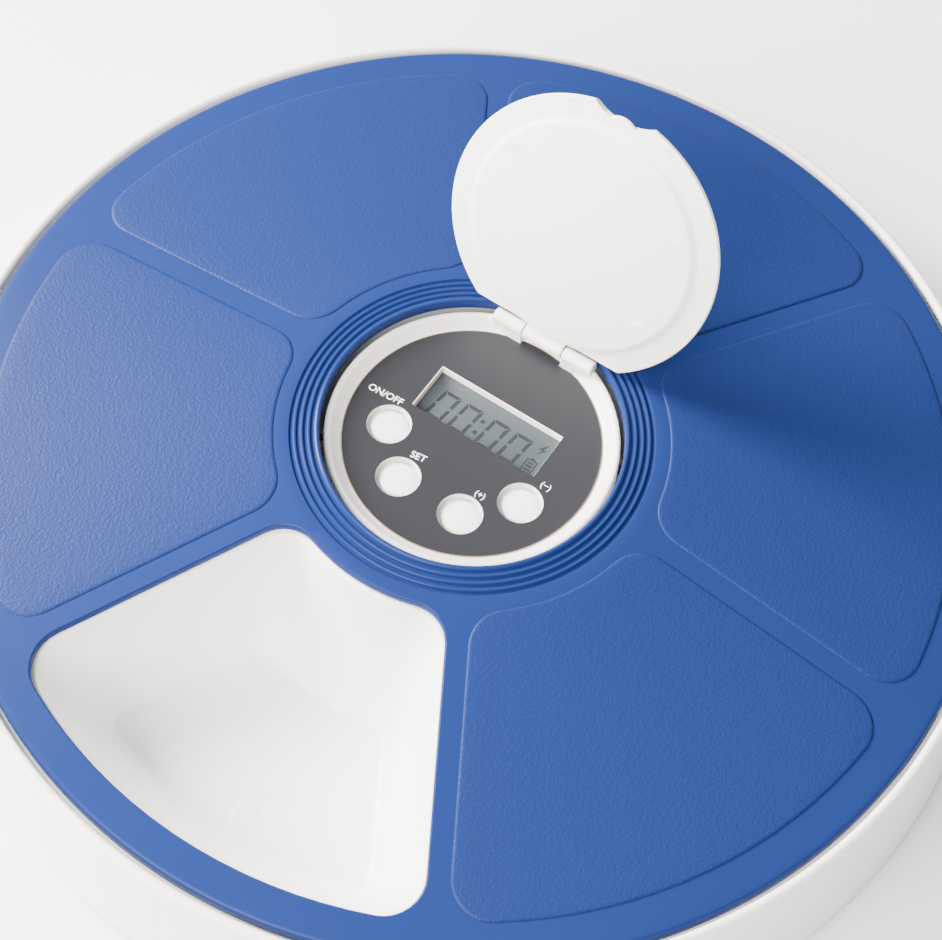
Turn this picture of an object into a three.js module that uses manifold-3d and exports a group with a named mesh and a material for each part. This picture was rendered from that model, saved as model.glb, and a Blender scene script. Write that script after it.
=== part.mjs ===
// Automatic pet feeder: a tray of six compartments turns under a lid with one window.
// Millimetres, +Z up, origin on the floor under the middle of the base.
// The open compartment and the front of the panel face -Y.

import * as THREE from 'three';
import { mergeVertices } from 'three/addons/utils/BufferGeometryUtils.js';
import Module from 'manifold-3d';

const wasm = await Module();
wasm.setup();

// ---------------------------------------------------------------- driving sizes

const FIT_GAP = 0.3;          // between pieces that rest on or beside each other
const CUT_PAST = 2;           // how far a cutter runs past the face that it opens
const BITE = 0.5;             // how far joined solids run into each other
const BIG_SIDES = 60;         // facets round the large turned pieces
const HUB_SIDES = 48;         // facets round the hub pieces
const CAP_SIDES = 20;         // facets round the buttons, cells and buzzer
const SMALL_SIDES = 16;       // facets round feet, shafts and knuckles
const SCREW_SIDES = 12;       // facets round screws, pins and posts
const COMPARTMENTS = 6;
const SECTOR = (2 * Math.PI) / COMPARTMENTS;
const FRONT = -Math.PI / 2;   // direction of the open compartment

const lid = {
  radius: 150,
  edgeTop: 49,                // height of the top surface at the outer edge
  rise: 16,                   // from the outer edge up to the hub hole
  hubGap: 1,                  // between the hub hole and the control panel
  hubBand: 13,                // from the hub hole out to the window
  windowRim: 10.2,            // from the window out to the edge
  windowSide: 3.1,            // from the middle of a spoke to the window
  windowCorner: 11,
  skin: 2.2,
  edgeBevel: 1.2,
  skirtWall: 2.4,
  holeLip: 1.2,               // how far the hub hole's lip hangs below the skin
};

const bayonet = {
  count: 3,
  twistDegrees: 5,
  postDegrees: 3,
  postWall: 1.8,
  postInset: 0.2,             // from the lid's edge in to the posts
  hookDegrees: 4,
  hookHeight: 1.6,
  slack: 0.4,
};

const base = {
  sideFlare: 4.8,             // from the rim out to the foot of the side wall
  rimWall: 3,
  lidGap: 1.4,                // between the lid's edge and the rim
  bottom: 2.5,
  rimRound: 1.3,
  wall: 2.4,
  ledgeDepth: 4.4,            // from the rim's top down to the ledge under the lid
  ledgeWidth: 6.2,
  ledgeWall: 2.2,
  tubDraft: 1.5,
  floorTop: 10.5,
  floorWall: 2.2,
  floorFillet: 2.5,
  trackWidth: 4,
  columnWall: 2.2,
  columnInset: 0.3,           // from the panel's edge in to the column
  screwBoss: 5.8,
  screwBossTop: 20,
};

const tray = {
  edgeGap: 1.6,               // between the tray and the base's ledge
  underLid: 0.8,              // below the underside of the lid
  skin: 1.8,
  rimDrop: 5,
  floorTop: 19,
  floorCorner: 8,
  floorSide: 15,
  floorFillet: 3,
  innerRun: 15.5,             // from the mouth in to the floor, at the hub
  outerRun: 11.6,             // from the mouth in to the floor, at the edge
  mouthLap: 1.2,              // from the lid's window in to the mouth
  mouthSide: 4.2,
  mouthCorner: 11,
  collarWall: 2,
  collarAbove: 7,             // collar's foot above the compartment floors
};

const gear = {
  module: 2,
  pinionTeeth: 12,
  columnGap: 1.5,             // between the column and the ring's tooth tips
  face: 6,
  tipRing: 0.75,              // tooth heights and depths, in modules
  tipPinion: 0.85,
  rootGap: 0.25,
  backlash: 0.36,
  pressureAngle: 20,
  shaftRadius: 2.5,
  shaftGap: 0.2,
  windowSide: 1,              // room round the pinion in the column's window
  windowHigh: 1.5,
};

const panel = {
  radius: 42.3,
  belowLid: 3.5,              // top of the panel's ring, below the lid's hub edge
  dish: 3.4,                  // face that the label lies on, below the ring's top
  plate: 2,
  faceInset: 4.7,
  ringSide: 1.1,              // rounding of the ring's outer, middle and inner edges
  ringTop: 0.3,
  ringCrown: 0.9,
  ringInner: 1.5,
  faceStepOut: 0.6,
  faceStepUp: 0.4,
  skirtWall: 2.2,
  skirtHigh: 5.8,             // from the face down to the foot of the skirt
  labelInset: 0.5,
  labelThick: 0.4,
  labelGap: 0.1,
  labelCut: 0.15,
  windowWidth: 41.5,
  windowHeight: 15.6,
  windowY: 8,
};

const button = {
  circle: 24.2,
  holeRadius: 6.4,
  capRadius: 5.4,
  sunk: 1.2,                  // cap top below the label's top
  flange: 1.8,
  flangeThick: 1.1,
  stemRadius: 2,
  travel: 0.7,
  anglesFromFront: [-67.9, -25.7, 25.7, 67.9],
  names: ['button_on_off', 'button_set', 'button_plus', 'button_minus'],
};

const hinge = {
  inset: 4.7,                 // pin's axis from the panel's edge
  above: 1.5,                 // pin's axis above the panel's ring
  knuckleRadius: 2.2,
  footShare: 0.86,            // width of a knuckle's foot over its diameter
  pinRadius: 0.9,
  pinGap: 0.25,
  reach: 16.8,                // half the length over both knuckles
  boreEnd: 1,                 // knuckle wall past the end of the bore
  tongueHalf: 6.5,
  sideGap: 0.45,
  roomGap: 0.5,
  openDegrees: 113.8,
};

const cover = {
  inset: 0.3,                 // from the panel's edge
  above: 1.2,                 // outer face, above the pin's axis when shut
  below: 0.6,                 // rim's inner face, below the axis when shut
  chordPast: 1.3,             // straight edge, past the knuckles
  plateauInset: 6.4,
  plateauStep: 1.3,
  plateauSlope: 1.6,
  dishInset: 8.6,
  notchHalf: 11,
  notchDepth: 4,
  tabRadius: 6,
  tabReach: 1.9,
  tabStep: 0.6,
};

const board = {
  belowFace: 9.5,
  thick: 1.6,
  columnGap: 2.8,
  switchSize: 6,
  switchHeight: 3.4,
  postRadius: 3,
  postInset: 4,
  postAngles: [10, 125, 170, 55],
  screwRadius: 1.2,
  screwHead: 2.4,
  screwHeadHeight: 1.4,
  screwCover: 2,              // panel left over the end of a screw
};

const display = {
  width: 46,
  height: 19,
  thick: 2.6,
  frameWall: 1.6,
};

const cell = {
  radius: 7.25,
  length: 50.5,
  gap: 0.3,
  contact: 0.5,
};

const batteryBox = {
  wall: 1,
  columnGap: 0.9,             // between the box's front corners and the column
  contactInset: 2,
  contactThick: 0.35,
  doorThick: 1.8,
  doorOverlap: 1.6,
  rail: 1.4,
  railFront: 12,              // front of the rails from the middle of the box
  lip: 1.1,
  lipThick: 1,
  stopHalf: 8,
  stopThick: 1.5,
};

const bottomCover = {
  top: 6.8,
  thick: 2,
  screwInset: 6.3,
  screwAngles: [40, 90, 140],
  bossHeight: 4,
};

const basePlate = {
  top: 7.4,
  thick: 2,
  screwHigh: 9,
};

const plateScrew = {
  radius: 1.4,
  head: 2.8,
  headHeight: 1.2,
};

const foot = {
  count: 4,
  fromEdge: 32,               // foot circle in from the lid's edge
  radius: 8,
  bossRadius: 10,
  pocket: 1,
};

const motor = {
  pinionGap: 0.5,             // between the motor and the pinion's teeth
  boxGap: 1.55,               // least, between the motor and the battery box
  sideLeast: 12,              // least, sideways from the pinion's axis to the motor's
  radius: 9,
  bottom: 9,
};

const gearbox = {
  left: 21,
  right: 15,
  boxGap: 0.65,               // between the gearbox and the battery box
  columnGap: 1.2,
  aboveRing: 2.2,
  height: 9,
};

const buzzer = {
  x: 24,
  y: 12,
  radius: 6,
  height: 4.5,
};

const jack = {
  holeRadius: 4,
  boreRadius: 2.75,
  barrelRadius: 3.7,
  barrelSunk: 0.2,
  z: 20,
  bodyWidth: 9,
  bodyHeight: 11,
  bodyDepth: 4.6,
  boreDepth: 6.5,
};

// ---------------------------------------------------------------- derived sizes

const radians = THREE.MathUtils.degToRad;

lid.holeRadius = panel.radius + lid.hubGap;
lid.windowInner = lid.holeRadius + lid.hubBand;
lid.windowOuter = lid.radius - lid.windowRim;
const lidSlope = lid.rise / (lid.radius - lid.holeRadius);
const lidTopAt = (r) => lid.edgeTop + lidSlope * (lid.radius - r);
const lidUnderAt = (r) => lidTopAt(r) - lid.skin;
const trayTopAt = (r) => lidUnderAt(r) - tray.underLid;

panel.ringTopZ = lid.edgeTop + lid.rise - panel.belowLid;
panel.top = panel.ringTopZ - panel.dish;
panel.under = panel.top - panel.plate;
panel.faceRadius = panel.radius - panel.faceInset;
panel.labelRadius = panel.faceRadius - panel.labelInset;
panel.bottom = panel.top - panel.skirtHigh;
const labelTop = panel.top + panel.labelGap + panel.labelThick;
const capTop = labelTop - button.sunk;

base.rimTop = lid.edgeTop;
base.rimInner = lid.radius + base.lidGap;
base.rimRadius = base.rimInner + base.rimWall;
base.footRadius = base.rimRadius + base.sideFlare;
base.ledgeInner = base.rimInner - base.ledgeWidth;
base.ledgeTop = base.rimTop - base.ledgeDepth;
base.ledgeUnder = base.ledgeTop - base.ledgeWall;
base.floorUnder = base.floorTop - base.floorWall;
base.columnRadius = panel.radius - base.columnInset;
base.columnInner = base.columnRadius - base.columnWall;
base.columnTop = panel.bottom - FIT_GAP;
const sideSlope = base.sideFlare / (base.rimTop - base.bottom);
const sideRadiusAt = (z) => base.rimRadius + sideSlope * (base.rimTop - z);

tray.outerRadius = base.ledgeInner - tray.edgeGap;
tray.mouthInner = lid.windowInner + tray.mouthLap;
tray.mouthOuter = lid.windowOuter - tray.mouthLap;
tray.floorInner = tray.mouthInner + tray.innerRun;
tray.floorOuter = tray.mouthOuter - tray.outerRun;
tray.collarBottom = tray.floorTop + tray.collarAbove;
base.trackRadius = (tray.floorInner + tray.floorOuter) / 2;
base.trackTop = tray.floorTop - tray.skin - FIT_GAP;

gear.ringTipLeast = base.columnRadius + gear.columnGap;
gear.ringTeeth = Math.ceil(2 * (gear.ringTipLeast / gear.module + gear.tipRing));
gear.ringPitch = (gear.module * gear.ringTeeth) / 2;
gear.pinionPitch = (gear.module * gear.pinionTeeth) / 2;
gear.centre = gear.ringPitch - gear.pinionPitch;
gear.ringTip = gear.ringPitch - gear.module * gear.tipRing;
gear.ringRoot = gear.ringPitch + gear.module * (gear.tipPinion + gear.rootGap);
gear.pinionTip = gear.pinionPitch + gear.module * gear.tipPinion;
gear.pinionRoot = gear.pinionPitch - gear.module * (gear.tipRing + gear.rootGap);

const cellStack = 2 * cell.radius + cell.gap;
const bayLength = cell.length + 2 * (cell.contact + cell.gap);
const baySpan = 2 * cellStack + cell.gap;
const bayBottom = bottomCover.top + FIT_GAP;
const bayTop = bayBottom + baySpan;
const bayHalfX = bayLength / 2;
const bayHalfY = baySpan / 2;
const boxHalfX = bayHalfX + batteryBox.wall;
const boxHalfY = bayHalfY + batteryBox.wall;
const cornerRadius = base.columnInner - batteryBox.columnGap;
batteryBox.y = boxHalfY - Math.sqrt(cornerRadius ** 2 - boxHalfX ** 2);
const boxBack = batteryBox.y + boxHalfY;

gearbox.radius = base.columnInner - gearbox.columnGap;
gearbox.front = boxBack + gearbox.boxGap;
gearbox.bottom = tray.collarBottom + gear.face + gearbox.aboveRing;
gearbox.top = gearbox.bottom + gearbox.height;
const motorReach = gear.pinionTip + motor.radius + motor.pinionGap;
motor.y = Math.max(
  boxBack + motor.boxGap + motor.radius,
  gear.centre - Math.sqrt(motorReach ** 2 - motor.sideLeast ** 2));
motor.x = -Math.sqrt(motorReach ** 2 - (gear.centre - motor.y) ** 2);

board.top = panel.top - board.belowFace;
board.under = board.top - board.thick;
board.radius = base.columnInner - board.columnGap;
board.postCircle = board.radius - board.postInset;
display.top = panel.under - FIT_GAP;
display.under = display.top - display.thick;

hinge.y = panel.radius - hinge.inset;
hinge.z = panel.ringTopZ + hinge.above;
cover.radius = panel.radius - cover.inset;
cover.plateauRadius = cover.radius - cover.plateauInset;
cover.dishRadius = cover.radius - cover.dishInset;
cover.chord = hinge.knuckleRadius + cover.chordPast;

bottomCover.bottom = bottomCover.top - bottomCover.thick;
bottomCover.screwCircle = base.columnInner - bottomCover.screwInset;
base.columnBottom = bottomCover.bottom;
basePlate.bottom = basePlate.top - basePlate.thick;
basePlate.screwCircle = (sideRadiusAt(basePlate.top) - base.wall + base.ledgeInner - base.tubDraft
  + base.ledgeWall) / 2;
foot.circle = lid.radius - foot.fromEdge;

// ---------------------------------------------------------------- solid helpers

function manifoldFrom(geometry) {
  const bare = geometry.clone();
  bare.deleteAttribute('normal');
  bare.deleteAttribute('uv');
  const merged = mergeVertices(bare, 1e-4);
  const spots = merged.attributes.position;
  const corners = Array.from(merged.index.array);
  const triangles = [];
  let volume = 0;
  const a = new THREE.Vector3();
  const b = new THREE.Vector3();
  const c = new THREE.Vector3();
  for (let i = 0; i < corners.length; i += 3) {
    const [p, q, r] = corners.slice(i, i + 3);
    if (p === q || q === r || r === p) continue;
    triangles.push(p, q, r);
    a.fromBufferAttribute(spots, p);
    b.fromBufferAttribute(spots, q);
    c.fromBufferAttribute(spots, r);
    volume += a.dot(b.cross(c));
  }
  if (volume < 0) triangles.reverse();
  return new wasm.Manifold(new wasm.Mesh({
    numProp: 3,
    vertProperties: Float32Array.from(spots.array),
    triVerts: Uint32Array.from(triangles),
  }));
}

function geometryFrom(solid) {
  const mesh = solid.getMesh();
  const geometry = new THREE.BufferGeometry();
  geometry.setAttribute('position', new THREE.BufferAttribute(new Float32Array(mesh.vertProperties), 3));
  geometry.setIndex(new THREE.BufferAttribute(new Uint32Array(mesh.triVerts), 1));
  geometry.computeVertexNormals();
  return geometry;
}

function join(solids) {
  return solids.reduce((whole, solid) => whole.add(solid));
}

function cut(body, cutters) {
  return cutters.reduce((rest, cutter) => rest.subtract(cutter), body);
}

function turned(profile, sides) {
  const loop = profile.map(([r, z]) => new THREE.Vector2(r, z));
  const onAxis = profile[0][0] === 0 && profile[profile.length - 1][0] === 0;
  if (!onAxis) loop.push(loop[0].clone());
  const geometry = new THREE.LatheGeometry(loop, sides);
  geometry.rotateX(Math.PI / 2);
  return manifoldFrom(geometry);
}

function disc(radius, low, high, x = 0, y = 0, sides = SMALL_SIDES) {
  const geometry = new THREE.CylinderGeometry(radius, radius, high - low, sides);
  geometry.rotateX(Math.PI / 2);
  geometry.translate(x, y, (low + high) / 2);
  return manifoldFrom(geometry);
}

function rodAlongY(radius, front, back, x, z, sides = SMALL_SIDES) {
  const geometry = new THREE.CylinderGeometry(radius, radius, back - front, sides);
  geometry.translate(x, (front + back) / 2, z);
  return manifoldFrom(geometry);
}

function rodAlongX(radius, left, right, y, z, sides = SMALL_SIDES) {
  const geometry = new THREE.CylinderGeometry(radius, radius, right - left, sides);
  geometry.rotateZ(Math.PI / 2);
  geometry.translate((left + right) / 2, y, z);
  return manifoldFrom(geometry);
}

function block(x0, x1, y0, y1, z0, z1) {
  const geometry = new THREE.BoxGeometry(x1 - x0, y1 - y0, z1 - z0);
  geometry.translate((x0 + x1) / 2, (y0 + y1) / 2, (z0 + z1) / 2);
  return manifoldFrom(geometry);
}

function arcPoints(x, y, radius, from, to, steps) {
  const points = [];
  for (let i = 0; i <= steps; i++) {
    const turn = from + ((to - from) * i) / steps;
    points.push(new THREE.Vector2(x + radius * Math.cos(turn), y + radius * Math.sin(turn)));
  }
  return points;
}

// A solid between rings of points that have the same count, from the lowest ring up.
function loft(rings) {
  const count = rings[0].length;
  const flat = rings.flat().flatMap((point) => [point.x, point.y, point.z]);
  const faces = [];
  for (let level = 0; level + 1 < rings.length; level++) {
    for (let i = 0; i < count; i++) {
      const here = level * count + i;
      const next = level * count + ((i + 1) % count);
      faces.push(here, next, next + count, here, next + count, here + count);
    }
  }
  const caps = [0, rings.length - 1];
  for (const level of caps) {
    const outline = rings[level].map((point) => new THREE.Vector2(point.x, point.y));
    for (const [p, q, r] of THREE.ShapeUtils.triangulateShape(outline, [])) {
      const start = level * count;
      if (level === 0) faces.push(start + p, start + r, start + q);
      else faces.push(start + p, start + q, start + r);
    }
  }
  const geometry = new THREE.BufferGeometry();
  geometry.setAttribute('position', new THREE.Float32BufferAttribute(flat, 3));
  geometry.setIndex(faces);
  return manifoldFrom(geometry);
}

// A sector of a ring with rounded corners. Its sides run parallel to the spokes,
// side away from their middle lines. It is centred on the direction `facing`.
function sectorOutline({ inner, outer, side, corner }, facing) {
  const half = SECTOR / 2;
  const inset = side + corner;
  const outerRun = Math.sqrt((outer - corner) ** 2 - inset ** 2);
  const innerRun = Math.sqrt((inner + corner) ** 2 - inset ** 2);
  const centreAt = (run) => new THREE.Vector2(
    run * Math.cos(half) + inset * Math.sin(half),
    run * Math.sin(half) - inset * Math.cos(half),
  );
  const outerCentre = centreAt(outerRun);
  const innerCentre = centreAt(innerRun);
  const outerTurn = Math.atan2(outerCentre.y, outerCentre.x);
  const innerTurn = Math.atan2(innerCentre.y, innerCentre.x);
  const sideTurn = half + Math.PI / 2;
  const cornerSteps = 3;
  const outerCorner = arcPoints(outerCentre.x, outerCentre.y, corner, outerTurn, sideTurn, cornerSteps);
  const innerCorner = arcPoints(
    innerCentre.x, innerCentre.y, corner, sideTurn, innerTurn + Math.PI, cornerSteps);
  const innerArc = arcPoints(0, 0, inner, innerTurn, 0, 2).slice(1);
  const outerArc = arcPoints(0, 0, outer, 0, outerTurn, 4).slice(1, -1);
  const upper = [...outerArc, ...outerCorner, ...innerCorner, ...innerArc.slice(0, -1)];
  const lower = upper.slice().reverse().map((point) => new THREE.Vector2(point.x, -point.y));
  const first = new THREE.Vector2(outer, 0);
  const last = new THREE.Vector2(inner, 0);
  const origin = new THREE.Vector2(0, 0);
  return [first, ...upper, last, ...lower].map((point) => point.rotateAround(origin, facing));
}

const raise = (outline, heightAt) =>
  outline.map((point) => new THREE.Vector3(point.x, point.y, heightAt(point.length())));

function prism(outline, low, high) {
  return loft([raise(outline, () => low), raise(outline, () => high)]);
}

function curvedBlock(inner, outer, from, to, low, high) {
  const steps = Math.max(2, Math.ceil((to - from) / radians(4)));
  const outside = arcPoints(0, 0, outer, from, to, steps);
  const inside = arcPoints(0, 0, inner, to, from, steps);
  return prism([...outside, ...inside], low, high);
}

const spots = (count, circle, offset) => Array.from({ length: count }, (_, i) => {
  const turn = offset + (2 * Math.PI * i) / count;
  return [circle * Math.cos(turn), circle * Math.sin(turn)];
});

// ---------------------------------------------------------------- materials

const finishes = {
  shell: { color: 0xf1efec, roughness: 0.35 },
  blue: { color: 0x2c50a4, roughness: 0.25 },
  trayWhite: { color: 0xf0eeea, roughness: 0.3 },
  label: { color: 0x6c6e78, roughness: 0.45 },
  glass: { color: 0x87949a, roughness: 0.15 },
  cap: { color: 0xf7f5f1, roughness: 0.4 },
  board: { color: 0x1f6a3c, roughness: 0.5 },
  black: { color: 0x1b1b1d, roughness: 0.55 },
  steel: { color: 0xb9bbbf, roughness: 0.3, metalness: 1 },
  gearWhite: { color: 0xe4e2da, roughness: 0.45 },
  rubber: { color: 0x333436, roughness: 0.85 },
  cellJacket: { color: 0x3a3d42, roughness: 0.3, metalness: 0.4 },
};

const feeder = new THREE.Group();

function add(name, solid, finish, parent = feeder) {
  const mesh = new THREE.Mesh(geometryFrom(solid), new THREE.MeshStandardMaterial(finishes[finish]));
  mesh.name = name;
  parent.add(mesh);
  return mesh;
}

// ---------------------------------------------------------------- base shell

const twist = radians(bayonet.twistDegrees);
const post = radians(bayonet.postDegrees);
const hook = radians(bayonet.hookDegrees);
const slack = bayonet.slack / lid.radius;
const postOuter = lid.radius - bayonet.postInset;
const postInner = postOuter - bayonet.postWall;
const bayonetTurns = Array.from({ length: bayonet.count }, (_, i) => (2 * Math.PI * i) / bayonet.count);

function baseProfile() {
  const round = base.rimRound;
  const rimMiddle = base.rimInner + round;
  const arc = arcPoints(rimMiddle, base.rimTop - round, round, Math.PI, Math.PI / 2, 2);
  const innerTop = arc.map((point) => [point.x, point.y]);
  const outerRound = base.rimRadius - rimMiddle;
  const outerArc = arcPoints(rimMiddle, base.rimTop - outerRound, outerRound, Math.PI / 2, 0, 2);
  const outerTop = outerArc.slice(1).map((point) => [point.x, point.y]);
  const tubFoot = base.ledgeInner - base.tubDraft;
  const trackIn = base.trackRadius - base.trackWidth / 2;
  const trackOut = base.trackRadius + base.trackWidth / 2;
  return [
    [base.footRadius - base.wall, base.bottom],
    [sideRadiusAt(base.ledgeUnder) - base.wall, base.ledgeUnder],
    [base.ledgeInner + base.ledgeWall, base.ledgeUnder],
    [tubFoot + base.ledgeWall, base.floorUnder],
    [base.columnRadius, base.floorUnder],
    [base.columnRadius, base.columnBottom],
    [base.columnInner, base.columnBottom],
    [base.columnInner, base.columnTop],
    [base.columnRadius, base.columnTop],
    [base.columnRadius, base.floorTop],
    [trackIn, base.floorTop],
    [trackIn, base.trackTop],
    [trackOut, base.trackTop],
    [trackOut, base.floorTop],
    [tubFoot - base.floorFillet, base.floorTop],
    [tubFoot, base.floorTop + base.floorFillet],
    [base.ledgeInner, base.ledgeTop],
    [base.rimInner, base.ledgeTop],
    ...innerTop,
    ...outerTop,
    [base.footRadius, base.bottom],
  ];
}

const footSpots = spots(foot.count, foot.circle, Math.PI / 4);
const plateScrewSpots = spots(foot.count, basePlate.screwCircle, Math.PI / 4);

function makeBase() {
  const bosses = footSpots.map(([x, y]) =>
    disc(foot.bossRadius, base.bottom, base.floorUnder + BITE, x, y));
  const screwBosses = plateScrewSpots.map(([x, y]) =>
    disc(base.screwBoss, basePlate.top + FIT_GAP, base.screwBossTop, x, y));
  const pockets = footSpots.map(([x, y]) =>
    disc(foot.radius + FIT_GAP, base.bottom - CUT_PAST, base.bottom + foot.pocket, x, y));
  const screwBores = plateScrewSpots.map(([x, y]) =>
    disc(plateScrew.radius + FIT_GAP, basePlate.top, basePlate.top + basePlate.screwHigh, x, y, SCREW_SIDES));
  const slots = bayonetTurns.map((turn) => curvedBlock(
    postInner - bayonet.slack, postOuter + bayonet.slack,
    turn - twist - slack, turn + post + slack,
    base.ledgeUnder - CUT_PAST, base.ledgeTop + CUT_PAST));
  const opening = gear.pinionTip + gear.windowSide;
  const pinionWindow = block(
    -opening, opening, base.columnInner / 2, base.columnRadius + CUT_PAST,
    tray.collarBottom - gear.windowHigh, tray.collarBottom + gear.face + gear.windowHigh);
  const jackHole = rodAlongY(
    jack.holeRadius, base.rimInner + CUT_PAST, base.footRadius + CUT_PAST, 0, jack.z);
  return cut(join([turned(baseProfile(), BIG_SIDES), ...bosses, ...screwBosses]),
    [...pockets, ...screwBores, ...slots, pinionWindow, jackHole]);
}

add('base_shell', makeBase(), 'shell');

footSpots.forEach(([x, y], i) => {
  const top = base.bottom + foot.pocket - FIT_GAP;
  add(`foot_${i + 1}`, disc(foot.radius, 0, top, x, y), 'rubber');
});

// ---------------------------------------------------------------- base plate

function plateScrewSolid(x, y, under, tip) {
  const headTop = under - FIT_GAP;
  return disc(plateScrew.radius, headTop - BITE, tip, x, y, SCREW_SIDES)
    .add(disc(plateScrew.head, headTop - plateScrew.headHeight, headTop, x, y, SCREW_SIDES));
}

function makeBasePlate() {
  const edge = sideRadiusAt(basePlate.top) - base.wall - FIT_GAP;
  const ring = turned([
    [base.columnRadius + FIT_GAP, basePlate.bottom],
    [edge, basePlate.bottom],
    [edge, basePlate.top],
    [base.columnRadius + FIT_GAP, basePlate.top],
  ], BIG_SIDES);
  const low = basePlate.bottom - CUT_PAST;
  const high = basePlate.top + CUT_PAST;
  const bossHoles = footSpots.map(([x, y]) => disc(foot.bossRadius + FIT_GAP, low, high, x, y));
  const screwHoles = plateScrewSpots.map(([x, y]) =>
    disc(plateScrew.radius + FIT_GAP, low, high, x, y, SCREW_SIDES));
  return cut(ring, [...bossHoles, ...screwHoles]);
}

add('base_plate', makeBasePlate(), 'shell');

plateScrewSpots.forEach(([x, y], i) => {
  const tip = basePlate.top + basePlate.screwHigh - FIT_GAP;
  add(`plate_screw_${i + 1}`, plateScrewSolid(x, y, basePlate.bottom, tip), 'steel');
});

// ---------------------------------------------------------------- lid

function makeLid() {
  const skirtBottom = base.ledgeTop + FIT_GAP;
  const lip = lid.holeLip + lid.skin;
  const skirtInner = lid.radius - lid.skirtWall;
  const lipOuter = lid.holeRadius + lid.skin;
  const dome = turned([
    [lid.holeRadius, lidTopAt(lid.holeRadius) - lip],
    [lipOuter, lidTopAt(lipOuter) - lip],
    [lipOuter, lidUnderAt(lipOuter)],
    [skirtInner, lidUnderAt(skirtInner)],
    [skirtInner, skirtBottom],
    [lid.radius, skirtBottom],
    [lid.radius, lid.edgeTop - lid.edgeBevel],
    [lid.radius - lid.edgeBevel, lidTopAt(lid.radius - lid.edgeBevel)],
    [lid.holeRadius, lidTopAt(lid.holeRadius)],
  ], BIG_SIDES);
  const windowOutline = sectorOutline({
    inner: lid.windowInner,
    outer: lid.windowOuter,
    side: lid.windowSide,
    corner: lid.windowCorner,
  }, FRONT);
  const opening = prism(windowOutline, base.ledgeTop, lidTopAt(0) + CUT_PAST);
  const tabs = bayonetTurns.flatMap((turn) => {
    const hookTop = base.ledgeUnder - FIT_GAP;
    const hookBottom = hookTop - bayonet.hookHeight;
    const stem = curvedBlock(postInner, postOuter, turn, turn + post, hookBottom, skirtBottom + BITE);
    const hookBlock = curvedBlock(postInner, postOuter, turn, turn + post + hook, hookBottom, hookTop);
    return [stem, hookBlock];
  });
  return join([dome.subtract(opening), ...tabs]);
}

add('lid', makeLid(), 'blue');

// ---------------------------------------------------------------- food tray

// One flank of an involute tooth as [radius, half angle] pairs, tooth centred on 0.
function toothFlank(teeth, low, high, thin, steps) {
  const pitch = (gear.module * teeth) / 2;
  const pressure = radians(gear.pressureAngle);
  const baseRadius = pitch * Math.cos(pressure);
  const involute = (angle) => Math.tan(angle) - angle;
  const halfAtPitch = Math.PI / (2 * teeth) - thin / (2 * pitch);
  return Array.from({ length: steps + 1 }, (_, i) => {
    const r = low + ((high - low) * i) / steps;
    const angle = Math.acos(Math.min(1, baseRadius / Math.max(r, baseRadius)));
    return [r, halfAtPitch + involute(pressure) - involute(angle)];
  });
}

function toothedOutline(teeth, flank, offset) {
  const points = [];
  for (let i = 0; i < teeth; i++) {
    const middle = offset + (2 * Math.PI * i) / teeth;
    const rising = flank.map(([r, half]) => [r, middle - half]);
    const falling = flank.slice().reverse().map(([r, half]) => [r, middle + half]);
    for (const [r, turn] of [...rising, ...falling]) {
      points.push(new THREE.Vector2(r * Math.cos(turn), r * Math.sin(turn)));
    }
  }
  return points;
}

function compartment(facing, wall) {
  const mouth = {
    inner: tray.mouthInner - wall,
    outer: tray.mouthOuter + wall,
    side: tray.mouthSide - wall,
    corner: tray.mouthCorner + wall,
  };
  const low = {
    inner: tray.floorInner - wall,
    outer: tray.floorOuter + wall,
    side: tray.floorSide - wall,
    corner: tray.floorCorner + wall,
  };
  const fillet = tray.floorFillet;
  const flat = {
    inner: low.inner + fillet,
    outer: low.outer - fillet,
    side: low.side + fillet,
    corner: low.corner - fillet,
  };
  const bottom = tray.floorTop - wall;
  const rings = [
    raise(sectorOutline(flat, facing), () => bottom),
    raise(sectorOutline(low, facing), () => bottom + fillet),
    raise(sectorOutline(mouth, facing), (r) => trayTopAt(r) - wall / 2),
  ];
  if (wall === 0) rings.push(raise(sectorOutline(mouth, facing), (r) => trayTopAt(r) + CUT_PAST));
  return loft(rings);
}

function makeTray() {
  const collarOuter = gear.ringRoot + tray.collarWall;
  const rimWall = tray.outerRadius - tray.skin;
  const deck = turned([
    [gear.ringRoot, trayTopAt(gear.ringRoot)],
    [gear.ringRoot, tray.collarBottom],
    [collarOuter, tray.collarBottom],
    [collarOuter, trayTopAt(collarOuter) - tray.skin],
    [rimWall, trayTopAt(rimWall) - tray.skin],
    [rimWall, trayTopAt(rimWall) - tray.rimDrop],
    [tray.outerRadius, trayTopAt(rimWall) - tray.rimDrop],
    [tray.outerRadius, trayTopAt(tray.outerRadius)],
  ], BIG_SIDES);
  const gaps = toothFlank(gear.ringTeeth, gear.ringTip, gear.ringRoot, -gear.backlash / 2, 1);
  const ringEdge = arcPoints(0, 0, collarOuter - BITE, 0, 2 * Math.PI, BIG_SIDES).slice(1);
  const ringShape = new THREE.Shape(ringEdge);
  ringShape.holes.push(new THREE.Path(toothedOutline(gear.ringTeeth, gaps, Math.PI / 2)));
  const ringGeometry = new THREE.ExtrudeGeometry(ringShape, { depth: gear.face, bevelEnabled: false });
  ringGeometry.translate(0, 0, tray.collarBottom);
  const facings = Array.from({ length: COMPARTMENTS }, (_, i) => FRONT + i * SECTOR);
  const shells = facings.map((facing) => compartment(facing, tray.skin));
  const hollows = facings.map((facing) => compartment(facing, 0));
  return cut(join([deck, ...shells, manifoldFrom(ringGeometry)]), hollows);
}

add('food_tray', makeTray(), 'trayWhite');

// ---------------------------------------------------------------- drive

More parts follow.
